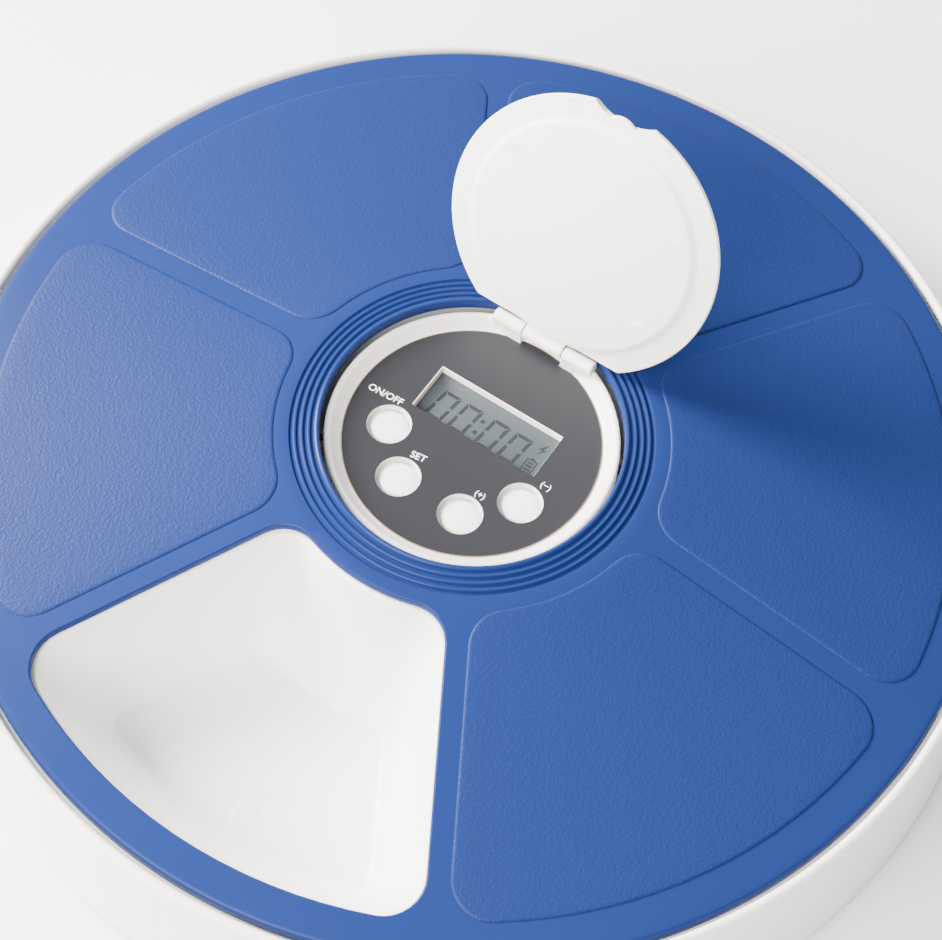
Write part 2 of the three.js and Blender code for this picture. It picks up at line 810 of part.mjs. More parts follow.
function makePinion() {
  const flank = toothFlank(gear.pinionTeeth, gear.pinionRoot, gear.pinionTip, gear.backlash / 2, 3);
  const shape = new THREE.Shape(toothedOutline(gear.pinionTeeth, flank, Math.PI / 2));
  const teeth = new THREE.ExtrudeGeometry(shape, { depth: gear.face, bevelEnabled: false });
  teeth.translate(0, 0, tray.collarBottom);
  const shaft = disc(gear.shaftRadius, tray.collarBottom + BITE, shaftTop, 0, 0);
  return manifoldFrom(teeth).add(shaft);
}

const shaftTop = gearbox.bottom + gearbox.height / 2;
add('drive_pinion', makePinion(), 'gearWhite').position.set(0, gear.centre, 0);

function makeGearbox() {
  const inside = disc(gearbox.radius, gearbox.bottom - CUT_PAST, gearbox.top + CUT_PAST, 0, 0, HUB_SIDES);
  const body = block(
    -gearbox.left, gearbox.right, gearbox.front, gearbox.radius, gearbox.bottom, gearbox.top);
  const bore = disc(
    gear.shaftRadius + gear.shaftGap, gearbox.bottom - CUT_PAST, shaftTop + FIT_GAP, 0, gear.centre);
  return body.intersect(inside).subtract(bore);
}

add('gearbox', makeGearbox(), 'gearWhite');
add('drive_motor', disc(
  motor.radius, motor.bottom, gearbox.bottom - FIT_GAP, motor.x, motor.y, CAP_SIDES), 'steel');

// ---------------------------------------------------------------- control panel

const buttonSpots = button.anglesFromFront.map((degrees) => {
  const turn = FRONT + radians(degrees);
  return [button.circle * Math.cos(turn), button.circle * Math.sin(turn)];
});
const halfWindow = panel.windowWidth / 2;
const windowLow = panel.windowY - panel.windowHeight / 2;
const windowHigh = panel.windowY + panel.windowHeight / 2;
const postSpots = board.postAngles.map((degrees) => [
  board.postCircle * Math.cos(radians(degrees)),
  board.postCircle * Math.sin(radians(degrees)),
]);

function panelCutters(spare) {
  const low = panel.under - CUT_PAST;
  const high = labelTop + CUT_PAST;
  const holes = buttonSpots.map(([x, y]) =>
    disc(button.holeRadius + spare, low, high, x, y, CAP_SIDES));
  const opening = block(
    -halfWindow - spare, halfWindow + spare, windowLow - spare, windowHigh + spare, low, high);
  return [...holes, opening];
}

function makeKnuckle(side) {
  const near = hinge.tongueHalf + hinge.sideGap;
  const left = side < 0 ? -hinge.reach : near;
  const right = side < 0 ? -near : hinge.reach;
  const half = hinge.knuckleRadius * hinge.footShare;
  const barrel = rodAlongX(hinge.knuckleRadius, left, right, hinge.y, hinge.z);
  return barrel.add(
    block(left, right, hinge.y - half, hinge.y + half, panel.under + BITE, hinge.z - BITE));
}

function makePanel() {
  const skirtInner = panel.radius - panel.skirtWall;
  const body = turned([
    [0, panel.top],
    [panel.faceRadius, panel.top],
    [panel.faceRadius + panel.faceStepOut, panel.top + panel.faceStepUp],
    [panel.radius - panel.ringInner, panel.ringTopZ - panel.ringTop],
    [panel.radius - panel.ringCrown, panel.ringTopZ],
    [panel.radius - panel.ringTop, panel.ringTopZ - panel.ringTop],
    [panel.radius, panel.ringTopZ - panel.ringSide],
    [panel.radius, panel.bottom],
    [skirtInner, panel.bottom],
    [skirtInner, panel.top],
    [skirtInner - panel.ringInner, panel.under],
    [0, panel.under],
  ], HUB_SIDES);
  const edge = disc(panel.radius - BITE / 2, 0, 2 * hinge.z, 0, 0, HUB_SIDES);
  const knuckles = join([makeKnuckle(-1), makeKnuckle(1)]).intersect(edge);
  const posts = postSpots.map(([x, y]) =>
    disc(board.postRadius, board.top + FIT_GAP, panel.under + BITE, x, y, SCREW_SIDES));
  const screwHoles = postSpots.map(([x, y]) => disc(
    board.screwRadius + FIT_GAP, board.top - CUT_PAST, panel.under - board.screwCover + FIT_GAP,
    x, y, SCREW_SIDES));
  const boreReach = hinge.reach - hinge.boreEnd;
  const pinBore = rodAlongX(
    hinge.pinRadius + hinge.pinGap, -boreReach, boreReach, hinge.y, hinge.z, SCREW_SIDES);
  const roomHalf = hinge.tongueHalf + hinge.sideGap;
  const tongueRoom = block(
    -roomHalf, roomHalf, hinge.y - hinge.knuckleRadius - hinge.roomGap, panel.radius + CUT_PAST,
    hinge.z - hinge.knuckleRadius - hinge.roomGap, hinge.z + 2 * hinge.knuckleRadius);
  return cut(join([body, knuckles, ...posts]), [...panelCutters(0), ...screwHoles, pinBore, tongueRoom]);
}

add('control_panel', makePanel(), 'shell');

const knuckleRoom = block(
  -hinge.reach - hinge.roomGap, hinge.reach + hinge.roomGap,
  hinge.y - hinge.knuckleRadius - hinge.roomGap / 2, panel.radius, panel.top, labelTop + CUT_PAST);
const labelDisc = disc(panel.labelRadius, panel.top + panel.labelGap, labelTop, 0, 0, HUB_SIDES);
add('panel_label', cut(labelDisc, [...panelCutters(panel.labelCut), knuckleRoom]), 'label');

// ---------------------------------------------------------------- buttons

buttonSpots.forEach(([x, y], i) => {
  const flangeTop = panel.under - FIT_GAP;
  const flangeBottom = flangeTop - button.flangeThick;
  const stemBottom = board.top + FIT_GAP + board.switchHeight + button.travel;
  const cap = join([
    disc(button.capRadius, flangeBottom + BITE, capTop, x, y, CAP_SIDES),
    disc(button.capRadius + button.flange, flangeBottom, flangeTop, x, y, CAP_SIDES),
    disc(button.stemRadius, stemBottom, flangeBottom + BITE, x, y, SCREW_SIDES),
  ]);
  add(button.names[i], cap, 'cap');
});

// ---------------------------------------------------------------- electronics

const boardDisc = disc(board.radius, board.under, board.top, 0, 0, HUB_SIDES);
const boardHoles = postSpots.map(([x, y]) =>
  disc(board.screwRadius + FIT_GAP, board.under - CUT_PAST, board.top + CUT_PAST, x, y, SCREW_SIDES));
add('main_board', cut(boardDisc, boardHoles), 'board');

buttonSpots.forEach(([x, y], i) => {
  const half = board.switchSize / 2;
  const low = board.top + FIT_GAP;
  const high = low + board.switchHeight;
  add(`switch_${i + 1}`, block(x - half, x + half, y - half, y + half, low, high), 'black');
});

postSpots.forEach(([x, y], i) => {
  const headTop = board.under - FIT_GAP;
  const tip = panel.under - board.screwCover;
  const screw = disc(board.screwRadius, headTop - BITE, tip, x, y, SCREW_SIDES)
    .add(disc(board.screwHead, headTop - board.screwHeadHeight, headTop, x, y, SCREW_SIDES));
  add(`board_screw_${i + 1}`, screw, 'steel');
});

const displayLow = panel.windowY - display.height / 2;
const displayHigh = panel.windowY + display.height / 2;
const displayHalf = display.width / 2;
add('display_glass', block(
  -displayHalf, displayHalf, displayLow, displayHigh, display.under, display.top), 'glass');
const frameOuter = block(
  -displayHalf, displayHalf, displayLow, displayHigh, board.top + FIT_GAP, display.under - FIT_GAP);
const frameInner = block(
  -displayHalf + display.frameWall, displayHalf - display.frameWall,
  displayLow + display.frameWall, displayHigh - display.frameWall, board.top, display.top);
add('display_frame', frameOuter.subtract(frameInner), 'gearWhite');

const buzzerTop = board.under - FIT_GAP;
add('buzzer', disc(
  buzzer.radius, buzzerTop - buzzer.height, buzzerTop, buzzer.x, buzzer.y, CAP_SIDES), 'black');

// ---------------------------------------------------------------- batteries

const boxOuter = block(
  -boxHalfX, boxHalfX, batteryBox.y - boxHalfY, boxBack, bayBottom, bayTop + batteryBox.wall);
const boxInner = block(-bayHalfX, bayHalfX, batteryBox.y - bayHalfY, batteryBox.y + bayHalfY,
  bayBottom - CUT_PAST, bayTop);
add('battery_box', boxOuter.subtract(boxInner), 'black');

[0, 1, 2, 3].forEach((i) => {
  const row = i % 2 === 0 ? -0.5 : 0.5;
  const layer = i < 2 ? 0 : 1;
  const z = bayBottom + cell.gap + cell.radius + layer * cellStack;
  const y = batteryBox.y + row * cellStack;
  const half = cell.length / 2;
  add(`battery_${i + 1}`, rodAlongX(cell.radius, -half, half, y, z, CAP_SIDES), 'cellJacket');
});

[-1, 1].forEach((side, i) => {
  const near = side * (cell.length / 2 + cell.gap);
  const far = near + side * batteryBox.contactThick;
  const inset = batteryBox.contactInset;
  const plate = block(
    Math.min(near, far), Math.max(near, far), batteryBox.y - bayHalfY + inset,
    batteryBox.y + bayHalfY - inset, bayBottom + inset, bayTop - inset);
  add(`battery_contact_${i + 1}`, plate, 'steel');
});

// ---------------------------------------------------------------- underside

const coverScrewSpots = bottomCover.screwAngles.map((degrees) => [
  bottomCover.screwCircle * Math.cos(radians(degrees)),
  bottomCover.screwCircle * Math.sin(radians(degrees)),
]);
const doorTop = bottomCover.bottom - FIT_GAP;
const doorBottom = doorTop - batteryBox.doorThick;
const doorHalfX = bayHalfX + batteryBox.doorOverlap;
const doorBack = batteryBox.y + bayHalfY + batteryBox.doorOverlap;
const doorFront = batteryBox.y - bayHalfY - batteryBox.doorOverlap;

function makeRail(side) {
  const wallIn = side * (doorHalfX + FIT_GAP);
  const wallOut = wallIn + side * batteryBox.rail;
  const lipIn = side * (doorHalfX - batteryBox.lip);
  const lipTop = doorBottom - FIT_GAP;
  const bottom = lipTop - batteryBox.lipThick;
  const front = batteryBox.y - batteryBox.railFront;
  const upright = block(
    Math.min(wallIn, wallOut), Math.max(wallIn, wallOut), front, doorBack,
    bottom, bottomCover.bottom + BITE);
  return upright.add(block(
    Math.min(lipIn, wallOut), Math.max(lipIn, wallOut), front, doorBack, bottom, lipTop));
}

function makeBottomCover() {
  const low = bottomCover.bottom - CUT_PAST;
  const high = bottomCover.top + CUT_PAST;
  const plate = disc(base.columnInner - FIT_GAP, bottomCover.bottom, bottomCover.top, 0, 0, HUB_SIDES);
  const stopFront = doorBack + FIT_GAP;
  const stop = block(
    -batteryBox.stopHalf, batteryBox.stopHalf, stopFront, stopFront + batteryBox.stopThick,
    doorBottom, bottomCover.bottom + BITE);
  const bay = block(
    -bayHalfX, bayHalfX, batteryBox.y - bayHalfY, batteryBox.y + bayHalfY,
    bottomCover.bottom - BITE / 2, high);
  const screwHoles = coverScrewSpots.map(([x, y]) =>
    disc(plateScrew.radius + FIT_GAP, low, high, x, y, SCREW_SIDES));
  return cut(join([plate, makeRail(-1), makeRail(1), stop]), [bay, ...screwHoles]);
}

add('bottom_cover', makeBottomCover(), 'shell');

coverScrewSpots.forEach(([x, y], i) => {
  const tip = bottomCover.top + bottomCover.bossHeight;
  add(`cover_screw_${i + 1}`, plateScrewSolid(x, y, bottomCover.bottom, tip), 'steel');
});

add('battery_door', block(-doorHalfX, doorHalfX, doorFront, doorBack, doorBottom, doorTop), 'shell');

// ---------------------------------------------------------------- power inlet

function makeJack() {
  const bodyFace = sideRadiusAt(jack.z + jack.bodyHeight / 2) - base.wall - 2 * FIT_GAP;
  const body = block(
    -jack.bodyWidth / 2, jack.bodyWidth / 2, bodyFace - jack.bodyDepth, bodyFace,
    jack.z - jack.bodyHeight / 2, jack.z + jack.bodyHeight / 2);
  const barrelEnd = sideRadiusAt(jack.z) - jack.barrelSunk;
  const barrel = rodAlongY(jack.barrelRadius, bodyFace - BITE, barrelEnd, 0, jack.z);
  const bore = rodAlongY(
    jack.boreRadius, barrelEnd - jack.boreDepth, barrelEnd + CUT_PAST, 0, jack.z);
  return body.add(barrel).subtract(bore);
}

add('power_inlet', makeJack(), 'black');

// ---------------------------------------------------------------- flip cover

// Drawn shut, from the pin's axis: -Y runs to the free edge and +Z is the outer face.
function makeFlipCover() {
  const middle = -hinge.y;
  const low = -cover.below - cover.plateauStep;
  const farLow = low - CUT_PAST;
  const farHigh = cover.above + CUT_PAST;
  const plate = disc(cover.radius, -cover.below, cover.above, 0, middle, HUB_SIDES);
  const plateau = turned([
    [0, low],
    [cover.plateauRadius - cover.plateauSlope, low],
    [cover.plateauRadius, -cover.below + BITE / 2],
    [0, -cover.below + BITE / 2],
  ], HUB_SIDES).translate([0, middle, 0]);
  const dish = disc(
    cover.dishRadius, cover.above - cover.plateauStep, farHigh, 0, middle, HUB_SIDES);
  const freeEdge = middle - cover.radius;
  const scoop = (cover.notchHalf ** 2 + cover.notchDepth ** 2) / (2 * cover.notchDepth);
  const notch = disc(
    scoop, farLow, farHigh, 0, freeEdge + cover.notchDepth - scoop, HUB_SIDES);
  const tabMiddle = freeEdge + cover.notchDepth - cover.tabReach + cover.tabRadius;
  const tab = disc(
    cover.tabRadius, -cover.below, cover.above - cover.tabStep, 0, tabMiddle, HUB_SIDES / 2);
  const straightEdge = block(
    -cover.radius, cover.radius, -cover.chord, cover.radius, farLow, farHigh);
  const barrel = rodAlongX(hinge.knuckleRadius, -hinge.tongueHalf, hinge.tongueHalf, 0, 0);
  const tongue = block(
    -hinge.tongueHalf, hinge.tongueHalf, -cover.chord - CUT_PAST, 0, -cover.below, cover.above);
  const bore = rodAlongX(
    hinge.pinRadius + hinge.pinGap, -hinge.reach, hinge.reach, 0, 0, SCREW_SIDES);
  const leaf = cut(join([plate, plateau]), [dish, notch, straightEdge]);
  return join([leaf, tab, barrel, tongue]).subtract(bore);
}

const hingeGroup = new THREE.Group();
hingeGroup.position.set(0, hinge.y, hinge.z);
hingeGroup.rotation.x = -radians(hinge.openDegrees);
feeder.add(hingeGroup);
add('flip_cover', makeFlipCover(), 'shell', hingeGroup);
const pinReach = hinge.reach - hinge.boreEnd - FIT_GAP;
add('hinge_pin', rodAlongX(
  hinge.pinRadius, -pinReach, pinReach, hinge.y, hinge.z, SCREW_SIDES), 'steel');

export default feeder;
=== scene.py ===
"""Automatic pet feeder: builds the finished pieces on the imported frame."""

import math

import bmesh
import bpy
from bpy.props import FloatProperty, FloatVectorProperty, IntProperty, PointerProperty
from mathutils import Matrix, Vector


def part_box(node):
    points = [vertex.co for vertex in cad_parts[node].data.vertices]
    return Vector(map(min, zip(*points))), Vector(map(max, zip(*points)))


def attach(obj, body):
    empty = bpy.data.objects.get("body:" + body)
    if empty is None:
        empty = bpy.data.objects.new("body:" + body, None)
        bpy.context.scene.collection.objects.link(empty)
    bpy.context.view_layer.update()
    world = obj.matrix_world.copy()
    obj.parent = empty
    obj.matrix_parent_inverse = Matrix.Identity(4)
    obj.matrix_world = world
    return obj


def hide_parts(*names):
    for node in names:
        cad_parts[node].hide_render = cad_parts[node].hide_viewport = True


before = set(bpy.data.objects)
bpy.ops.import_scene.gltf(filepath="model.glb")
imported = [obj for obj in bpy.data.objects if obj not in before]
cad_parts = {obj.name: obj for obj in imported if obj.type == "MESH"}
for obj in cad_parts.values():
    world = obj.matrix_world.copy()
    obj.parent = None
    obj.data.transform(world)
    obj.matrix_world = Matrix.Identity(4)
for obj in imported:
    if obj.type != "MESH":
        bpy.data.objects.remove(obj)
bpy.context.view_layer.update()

bl_info = {
    "name": "Automatic pet feeder",
    "version": (1, 0, 0),
    "blender": (4, 5, 0),
    "location": "3D View > Sidebar > Feeder",
    "description": "Builds a six-compartment pet feeder on its packed frame",
    "category": "Object",
}

MM = 0.001
TAU = 2 * math.pi
SECTOR = TAU / 6
FRONT = -math.pi / 2
LID_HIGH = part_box("lid")[1]
BASE_LOW, BASE_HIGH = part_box("base_shell")
TRAY_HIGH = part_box("food_tray")[1]
LABEL_LOW, LABEL_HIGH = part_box("panel_label")
GLASS_LOW, GLASS_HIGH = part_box("display_glass")
PLATE_LOW, PLATE_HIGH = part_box("base_plate")
UNDER_LOW, UNDER_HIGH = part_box("bottom_cover")
DOOR_LOW, DOOR_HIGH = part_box("battery_door")
PIN_LOW, PIN_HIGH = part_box("hinge_pin")
HINGE_Y = (PIN_LOW[1] + PIN_HIGH[1]) / 2
HINGE_Z = (PIN_LOW[2] + PIN_HIGH[2]) / 2

# Sizes that several pieces share.
CORNERS = ((1, 1), (-1, 1), (-1, -1), (1, -1))
HOLE_REACH = MM
UNDER_PLATE_LOW = 4.8 * MM
COLUMN_WALL = 2.2 * MM
GEAR_LOW = 26 * MM
GEAR_FACE = 6 * MM
RING_ROOT = 47.2
RING_COLLAR = 49.2
RING_TEETH = 45
RING_FLANK = ((43.5, 2.75), (45.0, 1.95), (RING_ROOT, 1.22))
BAYONET_TURNS = (0.0, 120.0, 240.0)
COVER_SCREW_CIRCLE = 33.5 * MM
COVER_SCREW_TURNS = (40, 90, 140)
SCREW_HEAD = 2.8 * MM
SCREW_SHAFT = 1.4 * MM
SCREW_HOLE = 1.7 * MM
KNUCKLE = 2.2 * MM
TONGUE_HALF = 6.5 * MM
KNUCKLE_NEAR = 6.95
KNUCKLE_FAR = 16.8
KNUCKLE_ROOMS = ((-17.2, -6.6), (6.6, 17.2))
FLOOR_MIDDLE = 98 * MM
MERGE = 2e-6


# ------------------------------------------------------------------ sizes and colours


def length(name, description, millimetres, low=0.0):
    return FloatProperty(
        name=name, description=description, default=millimetres * MM, min=low, unit="LENGTH",
        precision=5)


def colour(name, description, value):
    return FloatVectorProperty(
        name=name, description=description, default=value, size=3, min=0.0, max=1.0,
        subtype="COLOR")


class FeederLidSizes(bpy.types.PropertyGroup):
    radius: length("Radius", "Outer radius of the lid", LID_HIGH[0] / MM)
    edge_top: length("Edge height", "Top surface of the lid at its edge", 49)
    rise: length("Rise", "From the edge up to the hub hole", 16)
    hole: length("Hub hole", "Radius of the hole round the control panel", 43.3)
    skin: length("Skin", "Thickness of the lid", 2.2)
    window_inner: length("Window, inner", "Inner arc of the window and the pads", 56.3)
    window_outer: length("Window, outer", "Outer arc of the window and the pads", 139.8)
    spoke: length("Half spoke", "From the middle of a spoke to a pad", 3.1)
    corner: length("Corner", "Corner radius of the window and the pads", 11)
    pad_rise: length("Pad rise", "How far a pad stands above the lid", 0.42)
    groove_first: length("First groove", "Radius of the innermost groove", 45.4)
    groove_pitch: length("Groove pitch", "Between two grooves", 2.0)
    groove_width: length("Groove width", "Width of a groove", 0.95)
    groove_depth: length("Groove depth", "Depth of a groove", 0.7)
    groove_count: IntProperty(name="Grooves", description="Rings round the hub", default=4, min=0)
    blue: colour("Blue", "Colour of the lid", (0.010, 0.022, 0.100))


class FeederBaseSizes(bpy.types.PropertyGroup):
    foot: length("Foot radius", "Outside of the wall at the floor", BASE_HIGH[0] / MM)
    rim: length("Rim radius", "Outside of the wall under the rim", 154.4)
    inner: length("Inner radius", "Inside of the rim", 151.4)
    wall: length("Wall", "Thickness of the side wall", 2.4)
    floor: length("Tub floor", "Height of the tub's floor", 10.5)
    column: length("Column", "Radius of the middle column", 42)
    mould_line: length("Mould line", "Width of the mould line on the front", 0.35)
    white: colour("White", "Colour of the shell", (0.86, 0.845, 0.81))


class FeederTraySizes(bpy.types.PropertyGroup):
    outer: length("Outer radius", "Edge of the tray", TRAY_HIGH[0] / MM)
    mouth_inner: length("Mouth, inner", "Inner arc of a compartment's mouth", 57.5)
    mouth_outer: length("Mouth, outer", "Outer arc of a compartment's mouth", 138.6)
    mouth_side: length("Mouth, side", "From a spoke's middle to the mouth", 4.2)
    mouth_corner: length("Mouth, corner", "Corner radius of the mouth", 11)
    floor_inner: length("Floor, inner", "Inner arc of a compartment's floor", 73)
    floor_outer: length("Floor, outer", "Outer arc of a compartment's floor", 127)
    floor_side: length("Floor, side", "From a spoke's middle to the floor", 15)
    floor_corner: length("Floor, corner", "Corner radius of the floor", 8)
    floor: length("Floor height", "Height of a compartment's floor", 19)
    fillet: length("Fillet", "Between the floor and the walls", 3.4)
    skin: length("Skin", "Wall thickness", 1.8)
    lip: length("Lip", "Rounding of the mouth", 1.1)
    white: colour("White", "Colour of the tray", (0.87, 0.86, 0.835))


class FeederPanelSizes(bpy.types.PropertyGroup):
    radius: length("Radius", "Outside of the control panel", 42.3)
    face: length("Face radius", "Flat face inside the dished ring", 37.6)
    label: length("Label radius", "Edge of the printed label", 37.1)
    window_width: length("Window width", "Width of the display window", 41.5)
    window_height: length("Window height", "Height of the display window", 15.6)
    window_y: length("Window place", "Middle of the display window", 8)
    button_circle: length("Button circle", "Circle that the buttons lie on", 24.2)
    button_radius: length("Button radius", "Radius of a button", 5.4)
    grey: colour("Label grey", "Colour of the printed label", (0.015, 0.015, 0.018))
    print_white: colour("Legend white", "Colour of the legends", (0.78, 0.78, 0.76))
    crystal: colour("Crystal", "Colour of the display", (0.048, 0.060, 0.066))
    segment: colour("Segments", "Colour of a dark segment", (0.005, 0.006, 0.006))


class FeederCoverSizes(bpy.types.PropertyGroup):
    radius: length("Radius", "Outer radius of the flip cover", 42)
    rise: length("Outer rise", "Outer face above the hinge axis", 1.2)
    drop: length("Inner drop", "Rim's inner face below the axis", 0.6)
    plateau: length("Plateau", "Radius of the raised inner face", 35.6)
    step: length("Step", "Height of the plateau", 1.3)
    notch_half: length("Half notch", "Half the width of the finger notch", 11)
    notch_depth: length("Notch depth", "Depth of the finger notch", 4)
    tab: length("Tab", "Radius of the tab in the notch", 6)
    opened: FloatProperty(
        name="Opened", description="How far the cover stands open", subtype="ANGLE",
        default=math.radians(113.8))


class FeederSettings(bpy.types.PropertyGroup):
    lid: PointerProperty(type=FeederLidSizes)
    base: PointerProperty(type=FeederBaseSizes)
    tray: PointerProperty(type=FeederTraySizes)
    panel: PointerProperty(type=FeederPanelSizes)
    cover: PointerProperty(type=FeederCoverSizes)


# ------------------------------------------------------------------ mesh tools


def ring_points(radius, height, steps, x=0.0, y=0.0):
    return [
        Vector((x + radius * math.cos(TAU * i / steps), y + radius * math.sin(TAU * i / steps), height))
        for i in range(steps)]


def add_rings(mesh, rings, closed=False):
    """Joins rings of the same number of points with quads; open ends get a cap."""
    rows = [[mesh.verts.new(point) for point in ring] for ring in rings]
    count = len(rows[0])
    pairs = list(zip(rows, rows[1:]))
    if closed:
        pairs.append((rows[-1], rows[0]))
    for low, high in pairs:
        for i in range(count):
            j = (i + 1) % count
            mesh.faces.new((low[i], low[j], high[j], high[i]))
    if not closed:
        mesh.faces.new(rows[0][::-1])
        mesh.faces.new(rows[-1])


def add_turned(mesh, profile, steps, x=0.0, y=0.0):
    """Turns a closed loop of (radius, height) round a vertical line through x, y."""
    on_axis = profile[0][0] < 1e-7 and profile[-1][0] < 1e-7
    loop = profile[1:-1] if on_axis else profile
    add_rings(mesh, [ring_points(r, z, steps, x, y) for r, z in loop], closed=not on_axis)


def add_box(mesh, low, high):
    corners = [(low[0], low[1]), (high[0], low[1]), (high[0], high[1]), (low[0], high[1])]
    add_rings(mesh, [[Vector((x, y, z)) for x, y in corners] for z in (low[2], high[2])])


def add_rod_x(mesh, radius, left, right, y, z, steps=40, bevel=0.0):
    stations = [
        (left, radius - bevel), (left + bevel, radius), (right - bevel, radius), (right, radius - bevel)]
    if bevel == 0.0:
        stations = [(left, radius), (right, radius)]
    rings = []
    for x, r in stations:
        rings.append([
            Vector((x, y + r * math.cos(TAU * i / steps), z + r * math.sin(TAU * i / steps)))
            for i in range(steps)])
    add_rings(mesh, rings)


def arc(x, y, radius, start, stop, steps):
    return [
        (x + radius * math.cos(start + (stop - start) * i / steps),
         y + radius * math.sin(start + (stop - start) * i / steps))
        for i in range(steps + 1)]


def sector_outline(inner, outer, side, corner, facing):
    """A ring's sector with sides parallel to the spokes and rounded corners."""
    half = SECTOR / 2
    inset = side + corner
    outer_run = math.sqrt((outer - corner) ** 2 - inset ** 2)
    inner_run = math.sqrt((inner + corner) ** 2 - inset ** 2)

    def centre(run):
        return (run * math.cos(half) + inset * math.sin(half),
                run * math.sin(half) - inset * math.cos(half))

    far = centre(outer_run)
    near = centre(inner_run)
    far_turn = math.atan2(far[1], far[0])
    near_turn = math.atan2(near[1], near[0])
    side_turn = half + math.pi / 2
    run = 8
    upper = arc(0, 0, outer, 0, far_turn, run)[:-1]
    upper += arc(far[0], far[1], corner, far_turn, side_turn, run)
    start = upper[-1]
    stop = (near[0] + corner * math.cos(side_turn), near[1] + corner * math.sin(side_turn))
    for i in range(1, run):
        upper.append((start[0] + (stop[0] - start[0]) * i / run, start[1] + (stop[1] - start[1]) * i / run))
    upper += arc(near[0], near[1], corner, side_turn, near_turn + math.pi, run)
    upper += arc(0, 0, inner, near_turn, 0, run // 2)[1:]
    lower = [(x, -y) for x, y in upper[1:-1]][::-1]
    turn = Matrix.Rotation(facing, 2)
    return [turn @ Vector(point) for point in upper + lower]


def lift(outline, height):
    return [Vector((p.x, p.y, height(p.length) if callable(height) else height)) for p in outline]


def shrink_towards(ring, middle, share, height):
    points = []
    for point in ring:
        flat = Vector((point.x, point.y)).lerp(middle, share)
        points.append(Vector((flat.x, flat.y, height(flat.length))))
    return points


def object_from(mesh, name):
    """Closes a bmesh, turns its faces outwards and makes an object of it."""
    bmesh.ops.remove_doubles(mesh, verts=mesh.verts, dist=MERGE)
    bmesh.ops.recalc_face_normals(mesh, faces=mesh.faces)
    data = bpy.data.meshes.new(name)
    mesh.to_mesh(data)
    mesh.free()
    piece = bpy.data.objects.new(name, data)
    bpy.context.scene.collection.objects.link(piece)
    return piece


def settle(piece):
    """Applies a piece's modifiers and place to its mesh."""
    bpy.context.view_layer.update()
    seen = piece.evaluated_get(bpy.context.evaluated_depsgraph_get())
    data = bpy.data.meshes.new_from_object(seen)
    data.transform(piece.matrix_world)
    old = piece.data
    piece.modifiers.clear()
    if piece.type == "MESH":
        piece.data = data
        piece.matrix_world = Matrix.Identity(4)
        if isinstance(old, bpy.types.Mesh):
            bpy.data.meshes.remove(old)
        return piece
    name = piece.name
    bpy.data.objects.remove(piece)
    result = bpy.data.objects.new(name, data)
    bpy.context.scene.collection.objects.link(result)
    return result


def carve(piece, cutters, operation="DIFFERENCE"):
    for cutter in cutters:
        step = piece.modifiers.new(cutter.name, "BOOLEAN")
        step.operation = operation
        step.solver = "EXACT"
        step.object = cutter
    settle(piece)
    for cutter in cutters:
        bpy.data.meshes.remove(cutter.data)
    return piece


def soften(piece, width, angle=40.0, segments=2):
    step = piece.modifiers.new("edges", "BEVEL")
    step.width = width
    step.segments = segments
    step.limit_method = "ANGLE"
    step.angle_limit = math.radians(angle)
    step.harden_normals = False
    return settle(piece)


def dress(piece, finish, body, nodes=(), sharp=32.0):
    """Shades a piece, gives it its finish and ties it to the frame."""
    piece.data.materials.clear()
    piece.data.materials.append(finish)
    for face in piece.data.polygons:
        face.use_smooth = True
        face.material_index = 0
    piece.data.set_sharp_from_angle(angle=math.radians(sharp))
    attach(piece, body)
    if nodes:
        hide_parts(*nodes)
    return piece


def take_in(piece, extra):
    """Adds the mesh of one piece to another and removes the first."""
    merged = bmesh.new()
    merged.from_mesh(piece.data)
    merged.from_mesh(extra.data)
    merged.to_mesh(piece.data)
    merged.free()
    bpy.data.objects.remove(extra)


def centre_of(node):
    """The middle of a node's box in plan."""
    low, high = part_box(node)
    return (low[0] + high[0]) / 2, (low[1] + high[1]) / 2


def circle_spot(circle, degrees):
    turn = math.radians(degrees)
    return circle * math.cos(turn), circle * math.sin(turn)


def solid(name, build):
    """An object from a function that fills a bmesh."""
    mesh = bmesh.new()
    build(mesh)
    return object_from(mesh, name)


def post(name, radius, low, high, x=0.0, y=0.0, steps=48):
    return solid(name, lambda mesh: add_rings(
        mesh, [ring_points(radius, low, steps, x, y), ring_points(radius, high, steps, x, y)]))


def brick(name, low, high):
    return solid(name, lambda mesh: add_box(mesh, low, high))


# ------------------------------------------------------------------ finishes


class Wire:
    """A shader socket that adds Math nodes when it is used in an expression."""

    def __init__(self, finish, socket):
        self.finish = finish
        self.socket = socket

    def maths(self, operation, first, second):
        return self.finish.add(
            "ShaderNodeMath", "Value", {"operation": operation}, {0: first, 1: second})

    def __add__(self, other):
        return self.maths("ADD", self, other)

    def __radd__(self, other):
        return self.maths("ADD", other, self)

    def __sub__(self, other):
        return self.maths("SUBTRACT", self, other)

    def __rsub__(self, other):
        return self.maths("SUBTRACT", other, self)

    def __mul__(self, other):
        return self.maths("MULTIPLY", self, other)

    def __rmul__(self, other):
        return self.maths("MULTIPLY", other, self)

    def __gt__(self, other):
        return self.maths("GREATER_THAN", self, other)

    def __lt__(self, other):
        return self.maths("LESS_THAN", self, other)


